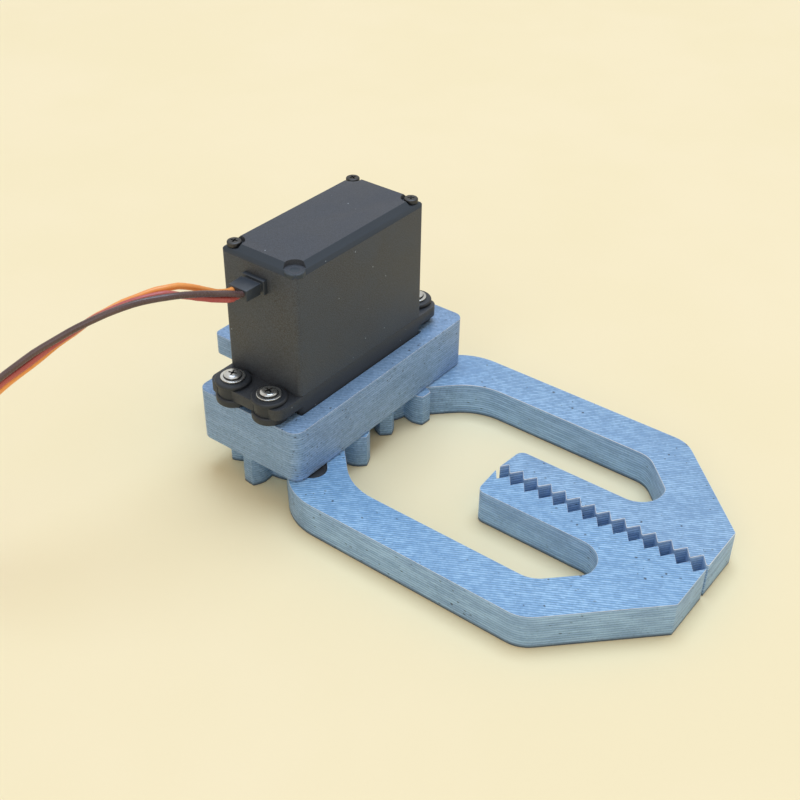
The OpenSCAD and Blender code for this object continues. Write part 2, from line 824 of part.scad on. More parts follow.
module strain_relief() {
    front = end_y - relief_l;
    color(plastic)
        difference() {
            union() {
                relief_neck(0, relief_neck_l);
                translate([relief_x - collar_w / 2, end_y - collar_l, relief_z - collar_t / 2])
                    cube([collar_w, collar_l, collar_t]);
                translate([relief_x - relief_w / 2, front, relief_z - relief_t / 2])
                    cube([relief_w, relief_l, relief_t]);
            }
            for (k = [1, 2], side = [-1, 1])
                translate([relief_x + side * relief_w / 2 - relief_groove / 2,
                    end_y - collar_l - k * groove_pitch, relief_z - relief_t])
                    cube([relief_groove, relief_groove, 2 * relief_t]);
        }
}

module grommets() {
    color("#232323")
        at_flange_holes()
            difference() {
                union() {
                    cylinder(h = grommet_low, r = grommet_r);
                    cylinder(h = head_z, r = grommet_neck_r);
                    translate([0, 0, seam_z])
                        cylinder(h = grommet_up, r = grommet_r);
                }
                translate([0, 0, -eps])
                    cylinder(h = head_z + 2 * eps, r = grommet_hole_r + slack);
            }
}

module eyelets() {
    color(brass)
        at_flange_holes()
            difference() {
                cylinder(h = head_z, r = grommet_hole_r);
                translate([0, 0, -eps])
                    cylinder(h = head_z + 2 * eps, r = grommet_hole_r - eyelet_wall);
            }
}

module flange_screws() {
    color(steel)
        at_flange_holes()
            difference() {
                union() {
                    translate([0, 0, head_z - screw_l])
                        cylinder(h = screw_l, r = screw_r);
                    translate([0, 0, head_z])
                        cylinder(h = washer_head_h, r = washer_head_r);
                    translate([0, 0, head_z + washer_head_h])
                        cylinder(h = dome_h, r = dome_r);
                }
                cross_recess(cross_share * dome_r, dome_h, head_z + washer_head_h + dome_h);
            }
}

module servo_horn() {
    color("#1f2022")
        difference() {
            union() {
                at_horn()
                    translate([0, 0, horn_z0])
                        linear_extrude(horn_t)
                            horn_outline(0);
                rod(axis_x, drive_y, horn_z0, horn_z1, spline_r + horn_wall);
            }
            rod(axis_x, drive_y, horn_web_z, horn_z1 + eps, spline_r + slack);
            rod(axis_x, drive_y, horn_z0 - eps, horn_web_z + eps, horn_bolt_r + slack);
            at_horn()
                for (r = horn_holes)
                    rod(r, 0, horn_z0 - eps, jaw_z1 + eps, horn_screw_r + slack);
        }
}

module horn_bolt() {
    color(steel)
        difference() {
            union() {
                rod(axis_x, drive_y, horn_z0 - slack, case_z - end_room, horn_bolt_r);
                rod(axis_x, drive_y, horn_z0 - slack - horn_head_h, horn_z0 - slack, horn_head_r);
            }
            translate([axis_x, drive_y, horn_z0 - slack - horn_head_h])
                mirror([0, 0, 1])
                    cross_recess(cross_share * horn_head_r, cross_share * horn_head_h, 0);
        }
}

module horn_screws() {
    color(steel)
        at_horn()
            for (r = horn_holes)
                difference() {
                    union() {
                        rod(r, 0, jaw_z0 + small_sink - eps, jaw_z1 - slack, horn_screw_r);
                        rod(r, 0, jaw_z0 + small_sink - small_head_h, jaw_z0 + small_sink,
                            small_head_r);
                    }
                    translate([r, 0, jaw_z0 + small_sink - small_head_h])
                        mirror([0, 0, 1])
                            cross_recess(cross_share * small_head_r, cross_share * small_head_h, 0);
                }
}

module pivot_bolt() {
    color(steel) {
        rod(axis_x, idler_y, nut_z0, bolt_head_z - bolt_head_h + eps, bolt_r);
        translate([axis_x, idler_y, bolt_head_z - bolt_head_h])
            cylinder(h = bolt_head_h, r = bolt_af / 2 / cos(30), $fn = 6);
    }
}

module pivot_washer() {
    color(steel)
        difference() {
            rod(axis_x, idler_y, nut_z1, pivot_washer_z1, pivot_washer_r);
            rod(axis_x, idler_y, nut_z1 - eps, pivot_washer_z1 + eps, bolt_r + slack);
        }
}

module pivot_nut() {
    color(steel)
        difference() {
            translate([axis_x, idler_y, nut_z0])
                cylinder(h = nut_h, r = bolt_af / 2 / cos(30), $fn = 6);
            rod(axis_x, idler_y, nut_z0 - eps, nut_z1 + eps, bolt_r + slack);
        }
}

// One ring of the lead's outline at point i: flat, and square to the lead's direction
function lead_ring(i) =
    let (n = len(lead_points), p = lead_points[i],
        ahead = i == 0 ? [0, -1, 0] : unit(lead_points[min(i + 1, n - 1)] - lead_points[i - 1]),
        side = unit([-ahead[1], ahead[0], 0]), up = cross(side, ahead))
    [for (a = [22.5:45:337.5])
        p + side * (lead_w / 2 * cos(a) / cos(22.5)) + up * (lead_t / 2 * sin(a) / cos(22.5))];

module lead() {
    rings = [for (i = [0:len(lead_points) - 1]) each lead_ring(i)];
    last = len(lead_points) - 1;
    color("#6b3a2a")
        polyhedron(rings, concat(
            [[for (k = [0:7]) k]],
            [[for (k = [7:-1:0]) last * 8 + k]],
            [for (i = [0:last - 1], k = [0:7])
                [i * 8 + k, (i + 1) * 8 + k, (i + 1) * 8 + (k + 1) % 8, i * 8 + (k + 1) % 8]]),
            convexity = 4);
}

module lead_coil() {
    color("#6b3a2a")
        translate([coil_x, coil_y, floor_z])
            rotate_extrude()
                translate([coil_r - lead_w / 2, 0])
                    square([lead_w, coil_turn_h]);
}

module at_tail() {
    translate([coil_x, coil_y, floor_z])
        rotate(tail_angle)
            translate([coil_r, 0, 0])
                children();
}

module lead_tail() {
    color("#6b3a2a")
        difference() {
            at_tail()
                translate([-lead_w / 2, -tail_l, (plug_t - lead_t) / 2])
                    cube([lead_w, tail_l - tail_start, lead_t]);
            rod(coil_x, coil_y, floor_z - eps, floor_z + plug_t, coil_r + lead_w / 2);
        }
}

module plug_housing() {
    color("#202124")
        at_tail()
            difference() {
                translate([-plug_w / 2, -tail_l - plug_l, 0])
                    cube([plug_w, plug_l, plug_t]);
                for (k = [-1:1])
                    translate([k * pin_pitch - pin_slot / 2, -tail_l - plug_l - eps,
                        (plug_t - pin_slot) / 2])
                        cube([pin_slot, contact_l + eps, pin_slot]);
            }
}

module plug_contacts() {
    wide = pin_slot - 2 * slack;
    color(brass)
        at_tail()
            for (k = [-1:1])
                translate([k * pin_pitch - wide / 2, -tail_l - plug_l + contact_sink,
                    (plug_t - wide) / 2])
                    difference() {
                        cube([wide, contact_l - contact_sink, wide]);
                        translate([wide / 4, -eps, wide / 4])
                            cube([wide / 2, plug_l / 2, wide / 2]);
                    }
}

bracket();
gear_case();
mid_case();
base_cover();
cover_screws();
motor();
motor_shaft();
gear_1();
gear_2();
gear_3();
middle_pin();
output_shaft();
output_bearing();
potentiometer();
control_board();
board_chips();
strain_relief();
grommets();
eyelets();
flange_screws();
servo_horn();
horn_bolt();
horn_screws();
drive_jaw();
idler_jaw();
pivot_bolt();
pivot_washer();
pivot_nut();
lead();
lead_coil();
lead_tail();
plug_housing();
plug_contacts();
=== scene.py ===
import math

import bpy
from mathutils import Matrix, Vector


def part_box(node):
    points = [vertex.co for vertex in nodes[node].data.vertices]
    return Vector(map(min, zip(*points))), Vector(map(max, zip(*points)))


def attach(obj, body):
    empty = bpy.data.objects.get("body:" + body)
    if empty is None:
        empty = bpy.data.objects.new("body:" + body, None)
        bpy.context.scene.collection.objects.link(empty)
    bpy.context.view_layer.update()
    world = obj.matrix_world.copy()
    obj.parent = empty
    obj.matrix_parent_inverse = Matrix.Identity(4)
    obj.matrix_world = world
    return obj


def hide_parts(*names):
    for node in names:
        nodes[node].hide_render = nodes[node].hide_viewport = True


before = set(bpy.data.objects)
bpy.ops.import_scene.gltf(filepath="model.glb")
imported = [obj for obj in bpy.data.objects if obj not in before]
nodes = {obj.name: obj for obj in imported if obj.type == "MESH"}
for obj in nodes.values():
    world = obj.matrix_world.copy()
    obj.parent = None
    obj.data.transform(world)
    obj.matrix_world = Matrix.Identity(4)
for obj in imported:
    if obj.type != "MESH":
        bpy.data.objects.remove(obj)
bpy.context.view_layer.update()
mm = 0.001
bpy.ops.object.select_all(action="DESELECT")
print("frame loaded:", len(nodes), "nodes")

# camera, looking down on the open side of the jaws
view = {
    "place": (164.13 * mm, -170.08 * mm, 146.61 * mm),
    "aim": (41.32 * mm, -6.96 * mm, 0.0),
    "roll": 0.86,
    "lens": 54.26,
    "sensor": 36.0,
    "clip": (0.005, 20.0),
}
camData = bpy.data.cameras.new("camera")
camData.lens = view["lens"]
camData.sensor_width = view["sensor"]
camData.clip_start, camData.clip_end = view["clip"]
camera = bpy.data.objects.new("camera", camData)
bpy.context.scene.collection.objects.link(camera)
lookAlong = Vector(view["aim"]) - Vector(view["place"])
turn = lookAlong.to_track_quat("-Z", "Y").to_matrix().to_4x4()
camera.matrix_world = (Matrix.Translation(view["place"]) @ turn
                       @ Matrix.Rotation(math.radians(view["roll"]), 4, "Z"))
bpy.context.scene.camera = camera
bpy.context.scene.view_settings.view_transform = "Standard"


def boxOf(nodeName):
    # a node's lowest and highest corners and its middle, in mm
    low, high = (Vector(corner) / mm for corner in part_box(nodeName))
    return low, high, (low + high) / 2


# places that several pieces share, in mm: the floor under the jaws and the servo's middle
floorZ = boxOf("drive_jaw")[0].z
servoX, servoY = boxOf("mid_case")[2].xy
fourCorners = ((-1, -1), (1, -1), (-1, 1), (1, 1))


# short ways to build a shader tree
def nodeIn(tree, kind, **settings):
    made = tree.nodes.new(kind)
    for key, value in settings.items():
        setattr(made, key, value)
    return made


def feed(tree, socket, value):
    if hasattr(value, "is_linked") or hasattr(value, "links"):
        tree.links.new(value, socket)
    else:
        socket.default_value = value


def calc(tree, operation, first, second=None, third=None):
    step = nodeIn(tree, "ShaderNodeMath", operation=operation)
    for socket, value in zip(step.inputs, (first, second, third)):
        if value is not None:
            feed(tree, socket, value)
    return step.outputs[0]


def ramp(tree, value, low, high, outLow=0.0, outHigh=1.0):
    # smooth step between two values
    step = nodeIn(tree, "ShaderNodeMapRange", interpolation_type="SMOOTHSTEP")
    feed(tree, step.inputs["Value"], value)
    for title, end in (("From Min", low), ("From Max", high), ("To Min", outLow), ("To Max", outHigh)):
        feed(tree, step.inputs[title], end)
    return step.outputs["Result"]


def noise(tree, point, scale, detail=2.0, rough=0.5):
    made = nodeIn(tree, "ShaderNodeTexNoise")
    feed(tree, made.inputs["Vector"], point)
    feed(tree, made.inputs["Scale"], scale)
    made.inputs["Detail"].default_value = detail
    made.inputs["Roughness"].default_value = rough
    return made.outputs["Fac"]


def blendColours(tree, amount, first, second):
    made = nodeIn(tree, "ShaderNodeMix", data_type="RGBA", blend_type="MIX")
    feed(tree, made.inputs["Factor"], amount)
    feed(tree, made.inputs["A"], first)
    feed(tree, made.inputs["B"], second)
    return made.outputs["Result"]


def scaledPoint(tree, point, scale):
    made = nodeIn(tree, "ShaderNodeVectorMath", operation="MULTIPLY")
    feed(tree, made.inputs[0], point)
    made.inputs[1].default_value = scale if hasattr(scale, "__len__") else (scale, scale, scale)
    return made.outputs["Vector"]


def newGroup(name, takes, gives):
    group = bpy.data.node_groups.new(name, "ShaderNodeTree")
    for title, kind, start in takes:
        socket = group.interface.new_socket(title, in_out="INPUT", socket_type=kind)
        if start is not None:
            socket.default_value = start
    for title, kind in gives:
        group.interface.new_socket(title, in_out="OUTPUT", socket_type=kind)
    return group, nodeIn(group, "NodeGroupInput"), nodeIn(group, "NodeGroupOutput")


def useGroup(tree, group, **values):
    made = nodeIn(tree, "ShaderNodeGroup", node_tree=group)
    for title, value in values.items():
        feed(tree, made.inputs[title], value)
    return made


numberKind, vectorKind = "NodeSocketFloat", "NodeSocketVector"


def splitXyz(tree, source):
    made = nodeIn(tree, "ShaderNodeSeparateXYZ")
    feed(tree, made.inputs[0], source)
    return made.outputs


# lines of laid plastic: level layers on walls, slanted passes on flat faces
laid = {
    "flatFrom": (0.8, 0.97), "rimFrom": (0.12, 0.45), "rimTo": (0.98, 0.88), "rowStep": 1.7,
    # how far a line strays, how fast its tone changes along it, and how its painted highlight on the crests
    # and painted shade in the grooves grow
    "wall": {"stray": 0.03, "run": 0.12, "sharp": 2.0,
             "bright": (0.38, 0.62, 0.15, 1.0), "dark": (0.62, 0.38, 0.25, 1.0)},
    "top": {"stray": 0.15, "run": 0.4, "sharp": 1.5,
            "bright": (0.38, 0.62, 0.25, 1.0), "dark": (0.64, 0.4, 0.35, 1.0)},
}


def makeLaidLines():
    group, given, out = newGroup(
        "laidLines",
        [("Point", vectorKind, None), ("Facing", vectorKind, None), ("Along", vectorKind, (1.0, 0.0, 0.0)),
         ("Layer", numberKind, 0.6), ("Pass", numberKind, 0.5)],
        [(title, numberKind) for title in ("Height", "Bright", "PaintedGrooveShade", "Flat", "PaintedRimHighlight")])
    point, facing, along = given.outputs["Point"], given.outputs["Facing"], given.outputs["Along"]
    place = splitXyz(group, point)
    level = calc(group, "ABSOLUTE", splitXyz(group, facing)[2])
    flat = ramp(group, level, *laid["flatFrom"])
    # painted highlight along the bevelled rims, picked out by the tilt of their faces
    edge = calc(group, "MULTIPLY", ramp(group, level, *laid["rimFrom"]), ramp(group, level, *laid["rimTo"]))

    # how far along and across the passes a point lies
    run = nodeIn(group, "ShaderNodeVectorMath", operation="DOT_PRODUCT")
    feed(group, run.inputs[0], point)
    feed(group, run.inputs[1], along)
    aside = nodeIn(group, "ShaderNodeVectorMath", operation="CROSS_PRODUCT")
    aside.inputs[0].default_value = (0.0, 0.0, 1.0)
    feed(group, aside.inputs[1], along)
    across = nodeIn(group, "ShaderNodeVectorMath", operation="DOT_PRODUCT")
    feed(group, across.inputs[0], point)
    feed(group, across.inputs[1], aside.outputs["Vector"])

    def lines(look, position, spacing, runSource):
        # one row of ridges, and a tone for each that changes along its length; the crests get a painted
        # highlight and the grooves painted shade
        bent = calc(group, "MULTIPLY_ADD", noise(group, point, 0.3, 1.0), look["stray"], position)
        row = calc(group, "DIVIDE", bent, spacing)
        ridge = calc(group, "MULTIPLY", calc(group, "PINGPONG", row, 0.5), 2.0)
        seed = nodeIn(group, "ShaderNodeCombineXYZ")
        feed(group, seed.inputs[0], calc(group, "MULTIPLY", calc(group, "FLOOR", row), laid["rowStep"]))
        for socket, source in zip(seed.inputs[1:], runSource):
            feed(group, socket, calc(group, "MULTIPLY", source, look["run"]))
        tone = noise(group, seed.outputs[0], 1.0, 2.0, 0.6)
        crest = calc(group, "POWER", ridge, look["sharp"])
        dip = calc(group, "SUBTRACT", 1.0, ridge)
        return {"Height": ridge,
                "Bright": calc(group, "MULTIPLY", crest, ramp(group, tone, *look["bright"])),
                "PaintedGrooveShade": calc(group, "MULTIPLY", dip, ramp(group, tone, *look["dark"]))}

    top = lines(laid["top"], across.outputs["Value"], given.outputs["Pass"], (run.outputs["Value"],))
    wall = lines(laid["wall"], place[2], given.outputs["Layer"], place[:2])
    for title in wall:
        both = nodeIn(group, "ShaderNodeMix")
        feed(group, both.inputs[0], flat)
        feed(group, both.inputs[2], wall[title])
        feed(group, both.inputs[3], top[title])
        feed(group, out.inputs[title], both.outputs[0])
    feed(group, out.inputs["Flat"], flat)
    feed(group, out.inputs["PaintedRimHighlight"], edge)
    return group


# fine moulded or cast grain
def makeGrain():
    group, given, out = newGroup(
        "grain", [("Point", vectorKind, None), ("Size", numberKind, 0.15)],
        [("Height", numberKind), ("Tone", numberKind)])
    scale = calc(group, "DIVIDE", 1.0, given.outputs["Size"])
    feed(group, out.inputs["Height"], noise(group, given.outputs["Point"], scale))
    feed(group, out.inputs["Tone"], noise(group, given.outputs["Point"], 0.09, 4.0, 0.6))
    return group


# sparse specks, such as dust, pits and blobs
def makeSpecks():
    group, given, out = newGroup(
        "specks", [("Point", vectorKind, None), ("Spacing", numberKind, 1.5), ("Size", numberKind, 0.1),
                   ("Share", numberKind, 0.3)],
        [("Mask", numberKind)])
    cells = nodeIn(group, "ShaderNodeTexVoronoi")
    warp = nodeIn(group, "ShaderNodeVectorMath", operation="ADD")
    feed(group, warp.inputs[0], given.outputs["Point"])
    bend = nodeIn(group, "ShaderNodeTexNoise")
    feed(group, bend.inputs["Vector"], given.outputs["Point"])
    bend.inputs["Scale"].default_value = 2.5
    feed(group, warp.inputs[1], scaledPoint(group, bend.outputs["Color"], 0.35))
    feed(group, cells.inputs["Vector"], warp.outputs["Vector"])
    feed(group, cells.inputs["Scale"], calc(group, "DIVIDE", 1.0, given.outputs["Spacing"]))
    chance = splitXyz(group, cells.outputs["Color"])
    chosen = calc(group, "LESS_THAN", chance[0], given.outputs["Share"])
    reach = calc(group, "DIVIDE", given.outputs["Size"], given.outputs["Spacing"])
    grown = calc(group, "MULTIPLY", reach, calc(group, "ADD", chance[1], 0.4))
    spot = ramp(group, cells.outputs["Distance"], grown, calc(group, "MULTIPLY", grown, 0.5))
    feed(group, out.inputs["Mask"], calc(group, "MULTIPLY", spot, chosen))
    return group


laidLines = makeLaidLines()
grain = makeGrain()
specks = makeSpecks()


def newMaterial(name):
    material = bpy.data.materials.new(name)
    material.use_nodes = True
    tree = material.node_tree
    shader = tree.nodes["Principled BSDF"]
    coords = nodeIn(tree, "ShaderNodeTexCoord")
    point = scaledPoint(tree, coords.outputs["Object"], 1000.0)
    return material, tree, shader, coords, point


def addBump(tree, shader, height, distance):
    bump = nodeIn(tree, "ShaderNodeBump")
    bump.inputs["Strength"].default_value = 1.0
    bump.inputs["Distance"].default_value = distance
    feed(tree, bump.inputs["Height"], height)
    feed(tree, shader.inputs["Normal"], bump.outputs["Normal"])


def makePrinted(name, look):
    material, tree, shader, coords, point = newMaterial(name)
    slant = math.radians(look["slant"])
    lines = useGroup(tree, laidLines, Point=point, Facing=coords.outputs["Normal"], Pass=look["pass"],
                     Along=(math.cos(slant), math.sin(slant), 0.0), Layer=look["layer"])
    flat, edge = lines.outputs["Flat"], lines.outputs["PaintedRimHighlight"]
    upright = calc(tree, "SUBTRACT", 1.0, flat)
    patch = noise(tree, point, 0.1, 3.0, 0.6)
    mottle = noise(tree, scaledPoint(tree, point, (1.0, 1.0, 1.6)), 1.6, 3.0, 0.7)

    def mark(tone, mask, share, paint):
        return blendColours(tree, calc(tree, "MULTIPLY", mask, share), tone, paint + (1,))

    # walls and tops take separate colours of the one plastic, painted light set for how light falls on each
    tone = blendColours(tree, flat, look["wall"] + (1,), look["top"] + (1,))
    tone = mark(tone, ramp(tree, patch, 0.62, 0.3), look["patchy"], look["dark"])
    tone = mark(tone, ramp(tree, mottle, 0.48, 0.3), look["grain"], look["dark"])
    tone = mark(tone, ramp(tree, mottle, 0.54, 0.72), look["grain"], look["bright"])
    # the painted highlight on the crests and painted shade in the grooves stand out more in some places than
    # in others
    strong = ramp(tree, patch, 0.3, 0.6, 0.55, 1.0)
    tone = mark(tone, calc(tree, "MULTIPLY", lines.outputs["PaintedGrooveShade"], strong), look["paintedGrooveShade"], look["dark"])
    tone = mark(tone, calc(tree, "MULTIPLY", lines.outputs["Bright"], strong), look["paintedCrestHighlight"], look["bright"])
    # small gaps in the plastic, gathered in patches, dented and darkened with painted shade
    pits = useGroup(tree, specks, Point=scaledPoint(tree, point, (0.8, 0.8, 1.7)), Spacing=1.1,
                    Size=0.24, Share=look["pits"])
    pitted = ramp(tree, noise(tree, point, 0.11), 0.42, 0.6)
    pitMask = calc(tree, "MULTIPLY", pits.outputs["Mask"], pitted)
    tone = mark(tone, pitMask, look["paintedShadeShare"], look["paintedShadeColour"])
    # a painted highlight along the bevelled rims
    tone = mark(tone, edge, look["edge"], look["paintedRimColour"])
    place = splitXyz(tree, point)
    # painted shade on the walls of the gear teeth, where they sit under the bracket
    gears = ramp(tree, place[0], look["gearX"] + look["gearFade"], look["gearX"])
    paintedGearShade = calc(tree, "MULTIPLY", gears, upright)
    paintedGearShade = calc(tree, "MULTIPLY", paintedGearShade, ramp(tree, mottle, 0.35, 0.6, 1.0, 0.5))
    tone = mark(tone, paintedGearShade, look["paintedGearShade"], look["dark"])
    # and a thin line of painted contact shadow runs round the foot
    foot = ramp(tree, place[2], floorZ + look["foot"][0], floorZ + look["foot"][1])
    tone = mark(tone, foot, look["paintedShadeShare"], look["paintedShadeColour"])
    feed(tree, shader.inputs["Base Color"], tone)
    rough = calc(tree, "MULTIPLY_ADD", lines.outputs["PaintedGrooveShade"], 0.12, look["rough"])
    feed(tree, shader.inputs["Roughness"], calc(tree, "MULTIPLY_ADD", upright, 0.06, rough))
    shader.inputs["IOR"].default_value = look["ior"]
    height = calc(tree, "SUBTRACT", lines.outputs["Height"], calc(tree, "MULTIPLY", pitMask, 1.5))
    height = calc(tree, "MULTIPLY_ADD", mottle, 1.2, height)
    addBump(tree, shader, height, look["relief"] * mm)
    return material


# the same plastic on three prints, each with its own slant of its passes; the walls and tops take separate
# colours set for the light that falls on each, and each print's top colour paints in the sheen its tops
# reflect
printedLook = {
    "layer": 0.6, "pass": 0.6,
    "wall": (0.31, 0.52, 0.85), "bright": (0.5, 0.78, 1.0), "dark": (0.1, 0.19, 0.32),
    "paintedShadeColour": (0.03, 0.05, 0.075), "paintedRimColour": (0.9, 0.97, 1.0),
    "paintedCrestHighlight": 0.75, "paintedGrooveShade": 0.7, "grain": 0.4, "edge": 0.9, "pits": 0.4, "rough": 0.38, "relief": 0.06,
    "patchy": 0.25, "paintedShadeShare": 0.85, "foot": (0.9, 0.2), "gearX": 36.0, "gearFade": 4.0, "paintedGearShade": 0.5,
    "ior": 1.48,
}
prints = {
    "bracket": {"top": (0.21, 0.38, 0.62), "slant": 45.0, "wall": (0.25, 0.42, 0.69),
                "bright": (0.4, 0.6, 0.86), "dark": (0.09, 0.16, 0.27), "paintedCrestHighlight": 0.45, "paintedGrooveShade": 0.5,
                "grain": 0.75, "paintedGearShade": 0.0},
    "drive_jaw": {"top": (0.195, 0.45, 0.8), "slant": 30.0},
    "idler_jaw": {"top": (0.21, 0.42, 0.72), "slant": 30.0},
}
printFinishes = {name: makePrinted(name + "Plastic", dict(printedLook, **own))
                 for name, own in prints.items()}


def makeMoulded(name, look):
    material, tree, shader, coords, point = newMaterial(name)
    skin = useGroup(tree, grain, Point=point, Size=look["grain"])
    tone = blendColours(tree, ramp(tree, skin.outputs["Tone"], 0.35, 0.65), look["low"] + (1,),
                        look["high"] + (1,))
    speckle = ramp(tree, skin.outputs["Height"], 0.35, 0.65)
    tone = blendColours(tree, calc(tree, "MULTIPLY", speckle, look["speckle"]), tone,
                        tuple(min(2.0 * c, 1.0) for c in look["high"]) + (1,))
    if "paintedSlopeShade" in look:
        # bevelled faces are painted darker, as painted shade
        level = splitXyz(tree, coords.outputs["Normal"])[2]
        paintedSlopeShade = calc(tree, "MULTIPLY", ramp(tree, level, 0.3, 0.5), ramp(tree, level, 0.93, 0.8))
        tone = blendColours(tree, paintedSlopeShade, tone, look["paintedSlopeShade"] + (1,))
    if look["dust"]:
        dust = useGroup(tree, specks, Point=point, Spacing=2.6, Size=0.17, Share=look["dust"])
        tone = blendColours(tree, calc(tree, "MULTIPLY", dust.outputs["Mask"], 0.6), tone,
                            (0.36, 0.43, 0.5, 1))
    feed(tree, shader.inputs["Base Color"], tone)
    feed(tree, shader.inputs["Roughness"], ramp(tree, skin.outputs["Tone"], 0.25, 0.75,
                                                look["rough"] - 0.04, look["rough"] + 0.05))
    addBump(tree, shader, skin.outputs["Height"], look["relief"] * mm)
    return material


# sizes of grain and relief in mm; dust is the share of specks that show
mouldedLooks = {
    "servoPlastic": {"low": (0.035, 0.037, 0.04), "high": (0.042, 0.051, 0.064),
                     "paintedSlopeShade": (0.02, 0.032, 0.046),
                     "speckle": 0.6, "grain": 0.22, "rough": 0.55, "relief": 0.03, "dust": 0.2},
    "topPlastic": {"low": (0.031, 0.036, 0.045), "high": (0.034, 0.041, 0.054),
                   "paintedSlopeShade": (0.02, 0.032, 0.048),
                   "speckle": 0.5, "grain": 0.22, "rough": 0.58, "relief": 0.03, "dust": 0.35},
    "flangePlastic": {"low": (0.022, 0.026, 0.032), "high": (0.027, 0.033, 0.042),
                      "speckle": 0.4, "grain": 0.22, "rough": 0.5, "relief": 0.03, "dust": 0.2},
    "reliefPlastic": {"low": (0.024, 0.032, 0.044), "high": (0.032, 0.042, 0.056),
                      "speckle": 0.15, "grain": 0.2, "rough": 0.4, "relief": 0.012, "dust": 0.1},
    "blackRubber": {"low": (0.011, 0.015, 0.021), "high": (0.017, 0.022, 0.03),
                    "speckle": 0.2, "grain": 0.12, "rough": 0.5, "relief": 0.02, "dust": 0.25},
    "hornPlastic": {"low": (0.005, 0.006, 0.008), "high": (0.009, 0.01, 0.013),
                    "speckle": 0.1, "grain": 0.3, "rough": 0.42, "relief": 0.006, "dust": 0.05},
    "plugPlastic": {"low": (0.014, 0.014, 0.015), "high": (0.026, 0.026, 0.028),
                    "speckle": 0.1, "grain": 0.25, "rough": 0.38, "relief": 0.008, "dust": 0.05},
    "chipPlastic": {"low": (0.02, 0.02, 0.022), "high": (0.034, 0.034, 0.036),
                    "speckle": 0.1, "grain": 0.1, "rough": 0.5, "relief": 0.01, "dust": 0.0},
    "filledPlastic": {"low": (0.02, 0.03, 0.042), "high": (0.026, 0.038, 0.052),
                      "speckle": 0.3, "grain": 0.2, "rough": 0.5, "relief": 0.02, "dust": 0.1},
    "boardGreen": {"low": (0.02, 0.11, 0.05), "high": (0.03, 0.15, 0.07),
                   "speckle": 0.1, "grain": 0.3, "rough": 0.35, "relief": 0.006, "dust": 0.0},
    "sensorGreen": {"low": (0.06, 0.16, 0.08), "high": (0.09, 0.21, 0.11),
                    "speckle": 0.1, "grain": 0.2, "rough": 0.5, "relief": 0.01, "dust": 0.0},
}
moulded = {name: makeMoulded(name, look) for name, look in mouldedLooks.items()}


def makeMetal(name, look):
    material, tree, shader, coords, point = newMaterial(name)
    skin = useGroup(tree, grain, Point=point, Size=look["grain"])
    tone = blendColours(tree, ramp(tree, skin.outputs["Tone"], 0.3, 0.7), look["low"] + (1,),
                        look["high"] + (1,))
    stain = useGroup(tree, specks, Point=point, Spacing=0.8, Size=0.12, Share=0.25)
    tone = blendColours(tree, calc(tree, "MULTIPLY", stain.outputs["Mask"], look["stain"]), tone,
                        (0.12, 0.11, 0.1, 1))
    feed(tree, shader.inputs["Base Color"], tone)
    shader.inputs["Metallic"].default_value = 1.0
    feed(tree, shader.inputs["Roughness"], ramp(tree, skin.outputs["Tone"], 0.25, 0.75,
                                                look["rough"] - 0.06, look["rough"] + 0.1))
    addBump(tree, shader, skin.outputs["Height"], look["relief"] * mm)
    return material


metalLooks = {
    "zincSteel": {"low": (0.36, 0.37, 0.38), "high": (0.66, 0.67, 0.67),
                  "grain": 0.1, "rough": 0.22, "relief": 0.006, "stain": 0.6},
    # a darker steel that paints shade into the screws' recesses
    "recessShadeSteel": {"low": (0.05, 0.05, 0.05), "high": (0.11, 0.11, 0.11),
                   "grain": 0.1, "rough": 0.4, "relief": 0.006, "stain": 0.2},
    "blackSteel": {"low": (0.05, 0.05, 0.052), "high": (0.09, 0.09, 0.092),
                   "grain": 0.1, "rough": 0.4, "relief": 0.004, "stain": 0.1},
    "gearBrass": {"low": (0.55, 0.38, 0.14), "high": (0.72, 0.52, 0.22),
                  "grain": 0.12, "rough": 0.3, "relief": 0.004, "stain": 0.2},
    "motorSteel": {"low": (0.42, 0.42, 0.43), "high": (0.58, 0.58, 0.59),
                   "grain": 0.2, "rough": 0.34, "relief": 0.006, "stain": 0.15},
}
metals = {name: makeMetal(name, look) for name, look in metalLooks.items()}


def makeInsulation(name, low, high, rough):
    material, tree, shader, coords, point = newMaterial(name)
    skin = useGroup(tree, grain, Point=point, Size=0.35)
    tone = blendColours(tree, ramp(tree, skin.outputs["Tone"], 0.3, 0.7), low + (1,), high + (1,))
    scuffs = useGroup(tree, specks, Point=point, Spacing=1.4, Size=0.12, Share=0.2)
    tone = blendColours(tree, calc(tree, "MULTIPLY", scuffs.outputs["Mask"], 0.3), tone,
                        (0.5, 0.45, 0.4, 1))
    feed(tree, shader.inputs["Base Color"], tone)
    feed(tree, shader.inputs["Roughness"], ramp(tree, skin.outputs["Height"], 0.3, 0.7,
                                                rough - 0.04, rough + 0.06))
    addBump(tree, shader, skin.outputs["Height"], 0.008 * mm)
    return material


wireMaterials = {
    "brown": makeInsulation("wireBrown", (0.085, 0.05, 0.05), (0.12, 0.075, 0.075), 0.24),
    "red": makeInsulation("wireRed", (0.44, 0.08, 0.075), (0.52, 0.11, 0.1), 0.3),
    "orange": makeInsulation("wireOrange", (0.88, 0.32, 0.065), (0.95, 0.42, 0.12), 0.3),
}
print("materials made:", len(bpy.data.materials))

